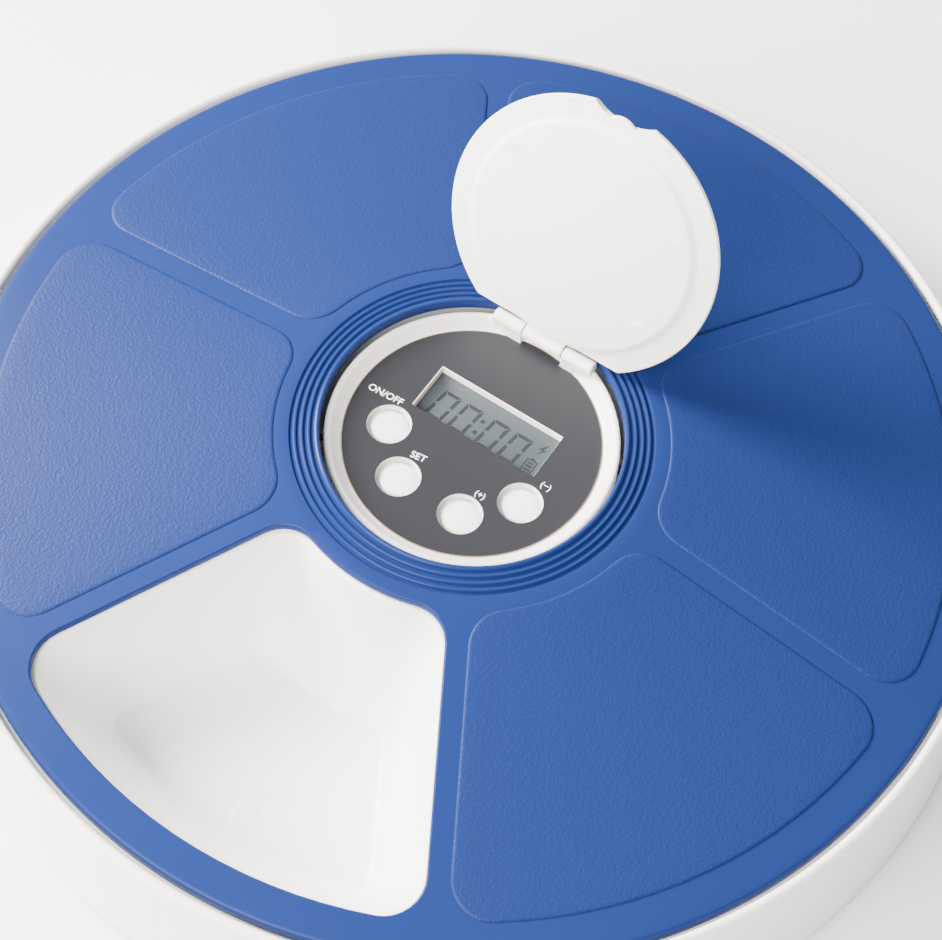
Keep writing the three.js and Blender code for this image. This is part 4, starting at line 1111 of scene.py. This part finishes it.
class FEEDER_OT_panel(bpy.types.Operator):
    """Makes the control panel with its dished ring and hinge knuckles"""

    bl_idname = "feeder.panel"
    bl_label = "Control panel"

    def execute(self, context):
        sizes = context.scene.feeder.panel
        face = LABEL_LOW[2] - 0.1 * MM
        ring = face + 3.4 * MM
        foot = 52.3 * MM
        edge = sizes.radius
        skirt = edge - 2.2 * MM
        profile = [(0, face), (20 * MM, face), (sizes.face, face)]
        profile += [
            (sizes.face + (edge - 1.9 * MM - sizes.face) * s, face + 2.95 * MM * (s ** 1.25)) for s in
            (0.15, 0.3, 0.45, 0.6, 0.75, 0.9, 1.0)]
        profile += [(edge - 1.5 * MM, ring - 0.22 * MM), (edge - 1.0 * MM, ring - 0.1 * MM),
                    (edge - 0.5 * MM, ring - 0.2 * MM),
                    (edge - 0.15 * MM, ring - 0.5 * MM), (edge, ring - 1.1 * MM),
                    (edge, foot), (skirt, foot),
                    (skirt, face - 0.4 * MM), (skirt - 1.5 * MM, face - 2 * MM), (0, face - 2 * MM)]
        panel = solid("control_panel_fine", lambda mesh: add_turned(mesh, profile, 192))
        carve(panel, panel_openings(sizes, 0.0, face - 5 * MM, face + 5 * MM))
        knuckles = self.knuckles(face)
        room = KNUCKLE_NEAR * MM
        gap = brick(
            "tongue room", (-room, HINGE_Y - 2.7 * MM, HINGE_Z - 2.7 * MM),
            (room, 50 * MM, HINGE_Z + 5 * MM))
        carve(panel, knuckles, "UNION")
        carve(panel, [gap])
        posts = []
        for degrees in (10.0, 125.0, 170.0, 55.0):
            x, y = circle_spot(33 * MM, degrees)
            posts.append(post("board post", 3 * MM, 48.9 * MM, face - 1.5 * MM, x, y, 32))
        carve(panel, posts, "UNION")
        dress(panel, finishes()["shell white"], "base", ["control_panel"], 28.0)
        return {"FINISHED"}

    def knuckles(self, face):
        half = 1.89 * MM
        made = []
        for left, right in (
                (-KNUCKLE_FAR * MM, -KNUCKLE_NEAR * MM), (KNUCKLE_NEAR * MM, KNUCKLE_FAR * MM)):
            rod = solid("knuckle", lambda mesh: add_rod_x(
                mesh, KNUCKLE, left, right, HINGE_Y, HINGE_Z, 48, 0.25 * MM))
            foot = brick(
                "knuckle foot", (left, HINGE_Y - half, face - 1.5 * MM),
                (right, HINGE_Y + half, HINGE_Z - 0.5 * MM))
            made += [rod, foot]
        return made


class FEEDER_OT_label(bpy.types.Operator):
    """Makes the printed label and its legends"""

    bl_idname = "feeder.label"
    bl_label = "Label and legends"

    def execute(self, context):
        sizes = context.scene.feeder.panel
        low, high = LABEL_LOW[2], LABEL_HIGH[2]
        edge = sizes.label
        profile = [(0, low), (edge, low), (edge, high - 0.08 * MM), (edge - 0.08 * MM, high), (0, high)]
        label = solid("panel_label_fine", lambda mesh: add_turned(mesh, profile, 192))
        cutters = panel_openings(sizes, 0.15 * MM, low - MM, high + MM)
        for left, right in KNUCKLE_ROOMS:
            cutters.append(brick(
                "knuckle room", (left * MM, 35.3 * MM, low - MM), (right * MM, 44 * MM, high + MM)))
        carve(label, cutters)
        dress(label, finishes()["label film"], "base", ["panel_label"])
        # A thin brown ring just outside the label: painted shade of the label's cut edge and the gap round
        # it.
        seam = solid("label_seam", lambda mesh: add_rings(mesh, [
            ring_points(r, z, 160) for r, z in (
                (edge + 0.06 * MM, low), (edge + 0.36 * MM, low), (edge + 0.36 * MM, low + 0.12 * MM),
                (edge + 0.06 * MM, low + 0.12 * MM))], closed=True))
        carve(seam, [brick(
            "seam room", (left * MM, 35.0 * MM, low - MM), (right * MM, 44 * MM, high + MM))
            for left, right in KNUCKLE_ROOMS])
        dress(seam, finishes()["seam glue"], "base", ())
        for words, x, y, size, turn in (
                ("ON/OFF", -28.7, -2.6, 3.1, 4.0), ("SET", -9.2, -14.3, 3.1, 8.0),
                ("(+)", 11.9, -14.4, 2.7, 3.0), ("(−)", 25.6, -1.4, 2.7, 3.0)):
            self.legend(words, x * MM, y * MM, size * MM, math.radians(turn), high)
        return {"FINISHED"}

    def legend(self, words, x, y, size, turn, height):
        data = bpy.data.curves.new("legend", "FONT")
        data.body = words
        data.size = size
        data.align_x = "CENTER"
        data.extrude = 0.02 * MM
        data.offset = 0.03 * MM
        data.resolution_u = 4
        text = bpy.data.objects.new("legend", data)
        bpy.context.scene.collection.objects.link(text)
        text.matrix_world = Matrix.Translation((x, y, height + 0.01 * MM)) @ Matrix.Rotation(turn, 4, "Z")
        text = settle(text)
        names = {"ON/OFF": "legend_on_off", "SET": "legend_set", "(+)": "legend_plus"}
        text.name = names.get(words, "legend_minus")
        dress(text, finishes()["legend ink"], "base", ())


class FEEDER_OT_display(bpy.types.Operator):
    """Makes the display: its crystal, its figures and its marks"""

    bl_idname = "feeder.display"
    bl_label = "Display"

    def execute(self, context):
        sizes = context.scene.feeder.panel
        glass = brick("display_crystal", GLASS_LOW, GLASS_HIGH)
        soften(glass, 0.15 * MM)
        dress(glass, finishes()["liquid crystal"], "base", ["display_glass"])
        mesh = bmesh.new()
        top = GLASS_HIGH[2]
        middle = sizes.window_y / MM - 2.0
        for x in (-14.0, -6.3, 3.0, 10.7):
            self.figure(mesh, x, middle, top)
        for y in (-2.6, 1.7):
            self.patch(mesh, [(-2.3, y), (-1.1, y), (-0.95, y + 1.2), (-2.15, y + 1.2)], middle, top)
        bolt = [(17.0, 2.2), (18.9, 4.6), (17.8, 4.3), (18.6, 6.7), (16.5, 4.0), (17.7, 4.2)]
        self.patch(mesh, bolt, middle, top)
        bars = (
            (15.4, 19.0, -5.0, -4.6), (15.4, 19.0, -0.6, -0.2), (15.4, 15.8, -4.6, -0.6),
            (18.6, 19.0, -4.6, -0.6), (16.6, 17.8, -0.2, 0.4), (16.2, 18.2, -4.1, -3.3),
            (16.2, 18.2, -2.9, -2.1), (16.2, 18.2, -1.7, -1.1))
        for left, right, low, high in bars:
            self.patch(mesh, [(left, low), (right, low), (right, high), (left, high)], middle, top)
        low_y = sizes.window_y - sizes.window_height / 2
        high_y = sizes.window_y + sizes.window_height / 2
        half = sizes.window_width / 2
        wall = 0.3 * MM
        # The left wall takes the darker copy of the white bezel as painted shade; the back wall keeps the
        # bezel's own white.
        walls = (
            ("window_wall_left", (-half, low_y), (-half + wall, high_y), "bezel beige"),
            ("window_wall_back", (-half + wall, high_y - wall), (half, high_y), "bezel white"))
        for name, (left, near), (right, far), finish in walls:
            side = brick(name, (left, near, top + 0.1 * MM), (right, far, LABEL_HIGH[2] - 0.02 * MM))
            dress(side, finishes()[finish], "base", ())
        figures = object_from(mesh, "display_figures")
        dress(figures, finishes()["segment ink"], "base", ())
        return {"FINISHED"}

    def patch(self, mesh, corners, middle, top):
        if sum(a[0] * b[1] - b[0] * a[1] for a, b in zip(corners, corners[1:] + corners[:1])) < 0:
            corners = corners[::-1]
        add_rings(mesh, [[Vector((x * MM, (y + middle) * MM, z)) for x, y in corners]
                         for z in (top - 0.1 * MM, top + 0.03 * MM)])

    def figure(self, mesh, x, middle, top):
        """A slanted seven-bar nought."""
        wide, tall, bar, gap, slant = 5.7, 10.2, 1.05, 0.22, 0.12
        half = tall / 2

        def lean(px, py):
            return px + x + slant * py, py
        side = [(0, gap), (bar, gap + bar * 0.5), (bar, half - gap - bar), (0, half - gap)]
        end = [(gap, half), (wide - gap, half), (wide - gap - bar, half - bar), (gap + bar, half - bar)]
        for flip_x in (1, -1):
            for flip_y in (1, -1):
                spot = [(px if flip_x > 0 else wide - px, py * flip_y) for px, py in side]
                self.patch(mesh, [lean(px - wide / 2, py) for px, py in spot], middle, top)
        for flip_y in (1, -1):
            self.patch(mesh, [lean(px - wide / 2, py * flip_y) for px, py in end], middle, top)


class FEEDER_OT_buttons(bpy.types.Operator):
    """Makes the four domed buttons"""

    bl_idname = "feeder.buttons"
    bl_label = "Buttons"

    def execute(self, context):
        sizes = context.scene.feeder.panel
        for name in BUTTON_TURNS:
            low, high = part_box(name)
            x, y = button_place(sizes, name)
            r = sizes.button_radius
            top = high[2]
            flange = 55.8 * MM
            foot = low[2] + 0.12 * MM
            brim = flange - 1.1 * MM
            wide = r + 1.8 * MM
            profile = [(0, foot), (2 * MM, foot), (2 * MM, brim), (wide, brim), (wide, flange), (r, flange)]
            profile += [
                (r, top - 1.0 * MM), (r - 0.1 * MM, top - 0.62 * MM), (r - 0.35 * MM, top - 0.38 * MM),
                (r - 0.8 * MM, top - 0.22 * MM), (r * 0.65, top - 0.09 * MM),
                (r * 0.35, top - 0.02 * MM), (0, top)]
            cap = solid(name + "_cap", lambda mesh: add_turned(mesh, profile, 64, x, y))
            dress(cap, finishes()["button white"], name.replace("button_", "") + "_button", [name])
        return {"FINISHED"}


class FEEDER_OT_cover(bpy.types.Operator):
    """Makes the flip cover: leaf, plateau, finger notch, tab, slits and ejector marks"""

    bl_idname = "feeder.cover"
    bl_label = "Flip cover"

    def execute(self, context):
        sizes = context.scene.feeder.cover
        leaf = self.leaf(sizes, -HINGE_Y)
        leaf.data.transform(
            Matrix.Translation((0, HINGE_Y, HINGE_Z)) @ Matrix.Rotation(-sizes.opened, 4, "X"))
        dress(leaf, finishes()["shell white"], "cover", ["flip_cover"], 30.0)
        return {"FINISHED"}

    def leaf(self, sizes, middle):
        r, up, down = sizes.radius, sizes.rise, -sizes.drop
        dish = 33.4 * MM
        floor = up - 1.3 * MM
        low = down - sizes.step
        slope = 1.6 * MM
        inner = sizes.plateau
        profile = [
            (0, low), (inner - slope - 0.4 * MM, low), (inner - slope + 0.1 * MM, low + 0.12 * MM),
            (inner - slope * 0.45, down - sizes.step * 0.45), (inner - 0.1 * MM, down - 0.15 * MM),
            (inner + 0.4 * MM, down), (r - 0.7 * MM, down), (r - 0.2 * MM, down + 0.18 * MM),
            (r, down + 0.6 * MM),
            (r, up - 0.8 * MM), (r - 0.25 * MM, up - 0.25 * MM), (r - 0.8 * MM, up), (dish + 0.3 * MM, up),
            (dish, up - 0.2 * MM), (dish - 0.1 * MM, floor + 0.4 * MM), (dish - 0.6 * MM, floor), (0, floor)]
        leaf = solid("flip_cover_fine", lambda mesh: add_turned(mesh, profile, 160, 0.0, middle))
        edge = middle - r
        scoop = (sizes.notch_half ** 2 + sizes.notch_depth ** 2) / (2 * sizes.notch_depth)
        far = 60 * MM
        chord = 3.5 * MM
        notch = post("notch", scoop, -10 * MM, 10 * MM, 0.0, edge + sizes.notch_depth - scoop, 160)
        straight = brick("straight edge", (-far, -chord, -10 * MM), (far, far, 10 * MM))
        slits = []
        for side in (-1, 1):
            for turn, wide in ((21.5, 4.5), (23.9, 0.5)):
                a = math.radians(-90 + side * turn)
                circle = 40.3 * MM
                spot = Vector((circle * math.cos(a), middle + circle * math.sin(a), 0))
                along = wide * MM / 2
                across = (0.22 if wide > 1 else 0.42) * MM / 2
                cutter = brick(
                    "slit", (-along, -across, down - MM), (along, across, down + 0.35 * MM))
                cutter.data.transform(Matrix.Translation(spot) @ Matrix.Rotation(a + math.pi / 2, 4, "Z"))
                slits.append(cutter)
        carve(leaf, [notch, straight] + slits)
        soften(leaf, 0.2 * MM, 50.0, 2)
        tab_y = edge + sizes.notch_depth - 1.9 * MM + sizes.tab
        extra = bmesh.new()
        tab_top = up - 0.6 * MM
        add_turned(extra, [
            (0, down + 0.05 * MM), (sizes.tab - 0.4 * MM, down + 0.05 * MM),
            (sizes.tab, down + 0.4 * MM), (sizes.tab, tab_top - 0.4 * MM),
            (sizes.tab - 0.4 * MM, tab_top), (0, tab_top)], 64, 0.0, tab_y)
        add_rod_x(extra, KNUCKLE, -TONGUE_HALF, TONGUE_HALF, 0.0, 0.0, 48, 0.25 * MM)
        add_box(extra, (-TONGUE_HALF, -chord - 1.6 * MM, down), (TONGUE_HALF, 0.0, up))
        for spot_x, spot_y in ((-26.0, -16.0), (26.0, -16.0), (-24.0, 14.0), (24.0, 14.0)):
            add_turned(extra, [
                (0, low + 0.2 * MM), (2.0 * MM, low + 0.2 * MM), (2.0 * MM, low - 0.03 * MM),
                (1.85 * MM, low - 0.05 * MM),
                (1.7 * MM, low - 0.02 * MM), (0, low - 0.02 * MM)], 40, spot_x * MM, middle + spot_y * MM)
        extra = object_from(extra, "cover trim")
        take_in(leaf, extra)
        return leaf


def cross_screw(low, tip):
    """A pan-head screw, head down, with a cross recess."""
    head, shaft = SCREW_HEAD, SCREW_SHAFT
    tall = 1.2 * MM
    profile = [
        (0, low), (head * 0.55, low), (head * 0.85, low + 0.15 * MM), (head, low + 0.45 * MM),
        (head, low + tall),
        (shaft, low + tall), (shaft, tip - MM), (0.3 * MM, tip), (0, tip)]
    screw = solid("screw", lambda mesh: add_turned(mesh, profile, 32))
    long, thin = head * 0.62, 0.3 * MM
    cross = [
        brick("recess", (-a, -b, low - MM), (a, b, low + 0.7 * MM)) for a, b in ((long, thin), (thin, long))]
    carve(screw, cross)
    screw.hide_render = True
    return screw


class FEEDER_OT_underside(bpy.types.Operator):
    """Makes the base plate, bottom cover, battery door, feet and their screws"""

    bl_idname = "feeder.underside"
    bl_label = "Underside"

    def execute(self, context):
        white = finishes()["shell white"]
        ring = circle_tree()
        row = row_tree()
        self.plate(white, ring)
        self.screws(ring)
        self.feet(ring)
        self.door(white, row)
        self.middle(white)
        return {"FINISHED"}

    def plate(self, white, ring):
        low, high = PLATE_LOW[2], PLATE_HIGH[2]
        edge = PLATE_HIGH[0]
        inner = 42.3 * MM
        profile = [
            (inner, low + 0.2 * MM), (inner + 0.2 * MM, low), (edge - 0.3 * MM, low),
            (edge, low + 0.3 * MM), (edge, high), (inner, high)]
        plate = solid("base_plate_fine", lambda mesh: add_turned(mesh, profile, 192))
        foot = centre_of("foot_1")[0]
        screw = centre_of("plate_screw_1")[0]
        low_cut, high_cut = low - HOLE_REACH, high + HOLE_REACH
        holes = []
        for sx, sy in CORNERS:
            holes.append(post("foot hole", 10.3 * MM, low_cut, high_cut, foot * sx, foot * sy, 64))
            holes.append(post("screw hole", SCREW_HOLE, low_cut, high_cut, screw * sx, screw * sy, 24))
        carve(plate, holes)
        dress(plate, white, "base", ["base_plate"])
        rib = brick("rib", (-22 * MM, -0.6 * MM, low - 0.8 * MM), (22 * MM, 0.6 * MM, low + 0.2 * MM))
        soften(rib, 0.25 * MM)
        rib.hide_render = True
        count = 16
        ribs = repeat(
            "base_plate_ribs", ring, rib, white, Count=count, Circle=80 * MM, Turn=math.radians(11.25),
            Step=TAU / count)
        dress(ribs, white, "base", ())

    def screws(self, ring):
        steel = finishes()["zinc plate"]
        low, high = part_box("plate_screw_1")
        names = [f"plate_screw_{i}" for i in range(1, 5)]
        screw = cross_screw(low[2], high[2])
        four = repeat("plate_screws", ring, screw, steel, **self.four_corners("plate_screw_1"))
        dress(four, steel, "base", names)
        low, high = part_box("cover_screw_1")
        screw = cross_screw(low[2], high[2])
        names = [f"cover_screw_{i}" for i in range(1, 4)]
        three = repeat(
            "cover_screws", ring, screw, steel, Count=len(COVER_SCREW_TURNS), Circle=COVER_SCREW_CIRCLE,
            Turn=math.radians(COVER_SCREW_TURNS[0]),
            Step=math.radians(COVER_SCREW_TURNS[1] - COVER_SCREW_TURNS[0]))
        dress(three, steel, "base", names)

    def four_corners(self, node):
        """The circle tree's values for four copies, the first where the node stands."""
        circle = centre_of(node)[0] * math.sqrt(2)
        return {"Count": 4, "Circle": circle, "Turn": math.pi / 4, "Step": math.pi / 2}

    def feet(self, ring):
        low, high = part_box("foot_1")
        r = (high[0] - low[0]) / 2
        tall = high[2]
        profile = [
            (0, 0.5 * MM), (3.2 * MM, 0.5 * MM), (3.5 * MM, 0.0), (4.4 * MM, 0.0), (4.7 * MM, 0.4 * MM),
            (5.5 * MM, 0.4 * MM), (5.8 * MM, 0.0), (r - 0.5 * MM, 0.0), (r - 0.1 * MM, 0.3 * MM),
            (r, 0.7 * MM), (r, tall), (0, tall)]
        foot = solid("foot", lambda mesh: add_turned(mesh, profile, 64))
        foot.hide_render = True
        rubber = finishes()["foot rubber"]
        feet = repeat("feet", ring, foot, rubber, **self.four_corners("foot_1"))
        dress(feet, rubber, "base", [f"foot_{i}" for i in range(1, 5)])

    def door(self, white, row):
        door = brick("battery_door_fine", DOOR_LOW, DOOR_HIGH)
        soften(door, 0.3 * MM)
        dress(door, white, "door", ["battery_door"])
        low = DOOR_LOW[2]
        ridge = brick("ridge", (-9 * MM, -0.4 * MM, low - 0.5 * MM), (9 * MM, 0.4 * MM, low + 0.2 * MM))
        ridge.data.transform(Matrix.Translation((0, DOOR_LOW[1] + 4 * MM, 0)))
        soften(ridge, 0.25 * MM)
        ridge.hide_render = True
        ridges = repeat("door_ridges", row, ridge, white, Count=5, Spacing=(0.0, 1.9 * MM, 0.0))
        dress(ridges, white, "door", ())

    def middle(self, white):
        low, high = UNDER_PLATE_LOW, UNDER_HIGH[2]
        edge = UNDER_HIGH[0]
        profile = [(0, low), (edge - 0.3 * MM, low), (edge, low + 0.3 * MM), (edge, high), (0, high)]
        plate = solid("bottom_cover_fine", lambda mesh: add_turned(mesh, profile, 160))
        near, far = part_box("battery_box")
        low_cut, high_cut = low - HOLE_REACH, high + HOLE_REACH
        wall = MM
        cuts = [brick(
            "bay", (near[0] + wall, near[1] + wall, low_cut), (far[0] - wall, far[1] - wall, high_cut))]
        for degrees in COVER_SCREW_TURNS:
            x, y = circle_spot(COVER_SCREW_CIRCLE, degrees)
            cuts.append(post("screw hole", SCREW_HOLE, low_cut, high_cut, x, y, 24))
        carve(plate, cuts)
        extra = bmesh.new()
        bottom, top = UNDER_LOW[2], low + 0.3 * MM
        front, back = -24 * MM, DOOR_HIGH[1]
        for side in (-1, 1):
            wall_in = side * (DOOR_HIGH[0] + 0.3 * MM)
            wall_out = wall_in + side * 1.4 * MM
            lip_in = side * (DOOR_HIGH[0] - 1.1 * MM)
            for inner, ceiling in ((wall_in, top), (lip_in, bottom + MM)):
                add_box(
                    extra, (min(inner, wall_out), front, bottom), (max(inner, wall_out), back, ceiling))
        add_box(extra, (-8 * MM, back + 0.3 * MM, DOOR_LOW[2]), (8 * MM, back + 1.8 * MM, top))
        extra = object_from(extra, "rails")
        soften(extra, 0.15 * MM)
        take_in(plate, extra)
        dress(plate, white, "base", ["bottom_cover"])


class FEEDER_OT_inside(bpy.types.Operator):
    """Gives the inner pieces of the frame their finishes"""

    bl_idname = "feeder.inside"
    bl_label = "Inner pieces"

    def execute(self, context):
        made = finishes()
        families = {
            "zinc plate": ["drive_motor", "hinge_pin", "battery_contact_1", "battery_contact_2"]
            + [f"board_screw_{i}" for i in range(1, 5)],
            "natural acetal": ["drive_pinion", "gearbox", "display_frame"],
            "black plastic": ["buzzer", "battery_box", "power_inlet"] + [f"switch_{i}" for i in range(1, 5)],
            "solder mask": ["main_board"],
            "cell jacket": [f"battery_{i}" for i in range(1, 5)],
        }
        for finish, nodes in families.items():
            for node in nodes:
                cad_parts[node].material_slots[0].material = made[finish]
        return {"FINISHED"}


class FEEDER_OT_stage(bpy.types.Operator):
    """Makes the floor, the soft studio light and the camera"""

    bl_idname = "feeder.stage"
    bl_label = "Stage"

    def execute(self, context):
        reach = 4.0
        floor = brick("floor", (-reach, -reach, -0.02), (reach, reach, -0.00005))
        paper = Finish("studio paper")
        cloud = paper.noise(5.0, 3.0)
        floor.data.materials.append(paper.surface(
            base_color=paper.blend(cloud, (0.84, 0.845, 0.82, 1.0), (0.87, 0.87, 0.85, 1.0)),
            roughness=cloud * 0.1 + 0.55))
        world = context.scene.world or bpy.data.worlds.new("studio")
        context.scene.world = world
        world.use_nodes = True
        sky = world.node_tree.nodes["Background"]
        sky.inputs["Color"].default_value = (0.94, 0.96, 1.0, 1.0)
        sky.inputs["Strength"].default_value = 0.75
        for name, place, size, power, shade in (
                ("key softbox", (-1.35, -0.1, 0.85), 0.7, 170.0, (1.0, 0.975, 0.945)),
                ("front softbox", (-0.2, -1.2, 1.05), 1.0, 80.0, (1.0, 0.98, 0.95))):
            self.softbox(name, Vector(place), size, power, shade)
        self.camera(context)
        return {"FINISHED"}

    def softbox(self, name, place, size, power, shade):
        light = bpy.data.lights.new(name, "AREA")
        light.shape = "SQUARE"
        light.size = size
        light.energy = power
        light.color = shade
        lamp = bpy.data.objects.new(name, light)
        lamp.matrix_world = Matrix.Translation(place) @ (
            Vector((0, 0, 0.03)) - place).to_track_quat("-Z", "Y").to_matrix().to_4x4()
        bpy.context.scene.collection.objects.link(lamp)

    def camera(self, context):
        round_z, above, roll = (math.radians(a) for a in (29.798, 60.28, 4.591))
        away = 654.398 * MM
        aim = Vector((2.535, -3.574, 49.0)) * MM
        back = Vector((
            math.sin(round_z) * math.cos(above), -math.cos(round_z) * math.cos(above),
            math.sin(above)))
        level = Vector((math.cos(round_z), math.sin(round_z), 0.0))
        upright = back.cross(level)
        right = level * math.cos(roll) + upright * math.sin(roll)
        up = upright * math.cos(roll) - level * math.sin(roll)
        lens = bpy.data.cameras.new("camera")
        lens.sensor_width = 36.0
        lens.sensor_fit = "HORIZONTAL"
        lens.lens = 86.91
        lens.clip_start = 0.01
        camera = bpy.data.objects.new("camera", lens)
        turn = Matrix((right, up, back)).transposed().to_4x4()
        camera.matrix_world = Matrix.Translation(aim + back * away) @ turn
        context.scene.collection.objects.link(camera)
        context.scene.camera = camera


class FEEDER_PT_sidebar(bpy.types.Panel):
    """Lists the feeder's operators in the sidebar"""

    bl_idname = "FEEDER_PT_sidebar"
    bl_label = "Pet feeder"
    bl_space_type = "VIEW_3D"
    bl_region_type = "UI"
    bl_category = "Feeder"

    def draw(self, context):
        for operator in OPERATORS:
            self.layout.operator(operator.bl_idname)
        for group in ("lid", "base", "tray", "panel", "cover"):
            sizes = getattr(context.scene.feeder, group)
            box = self.layout.box()
            box.label(text=group.capitalize())
            for key in sizes.__annotations__:
                box.prop(sizes, key)


OPERATORS = (
    FEEDER_OT_finishes, FEEDER_OT_base, FEEDER_OT_lid, FEEDER_OT_tray, FEEDER_OT_panel,
    FEEDER_OT_label, FEEDER_OT_display, FEEDER_OT_buttons, FEEDER_OT_cover, FEEDER_OT_underside,
    FEEDER_OT_inside, FEEDER_OT_stage)
GROUPS = (
    FeederLidSizes, FeederBaseSizes, FeederTraySizes, FeederPanelSizes, FeederCoverSizes, FeederSettings)


def register():
    for item in GROUPS + OPERATORS + (FEEDER_PT_sidebar,):
        bpy.utils.register_class(item)
    bpy.types.Scene.feeder = PointerProperty(type=FeederSettings)


def unregister():
    del bpy.types.Scene.feeder
    for item in reversed(GROUPS + OPERATORS + (FEEDER_PT_sidebar,)):
        bpy.utils.unregister_class(item)


def main():
    register()
    bpy.ops.feeder.finishes()
    bpy.ops.feeder.base()
    bpy.ops.feeder.lid()
    bpy.ops.feeder.tray()
    bpy.ops.feeder.panel()
    bpy.ops.feeder.label()
    bpy.ops.feeder.display()
    bpy.ops.feeder.buttons()
    bpy.ops.feeder.cover()
    bpy.ops.feeder.underside()
    bpy.ops.feeder.inside()
    bpy.ops.feeder.stage()


if __name__ == "__main__":
    main()
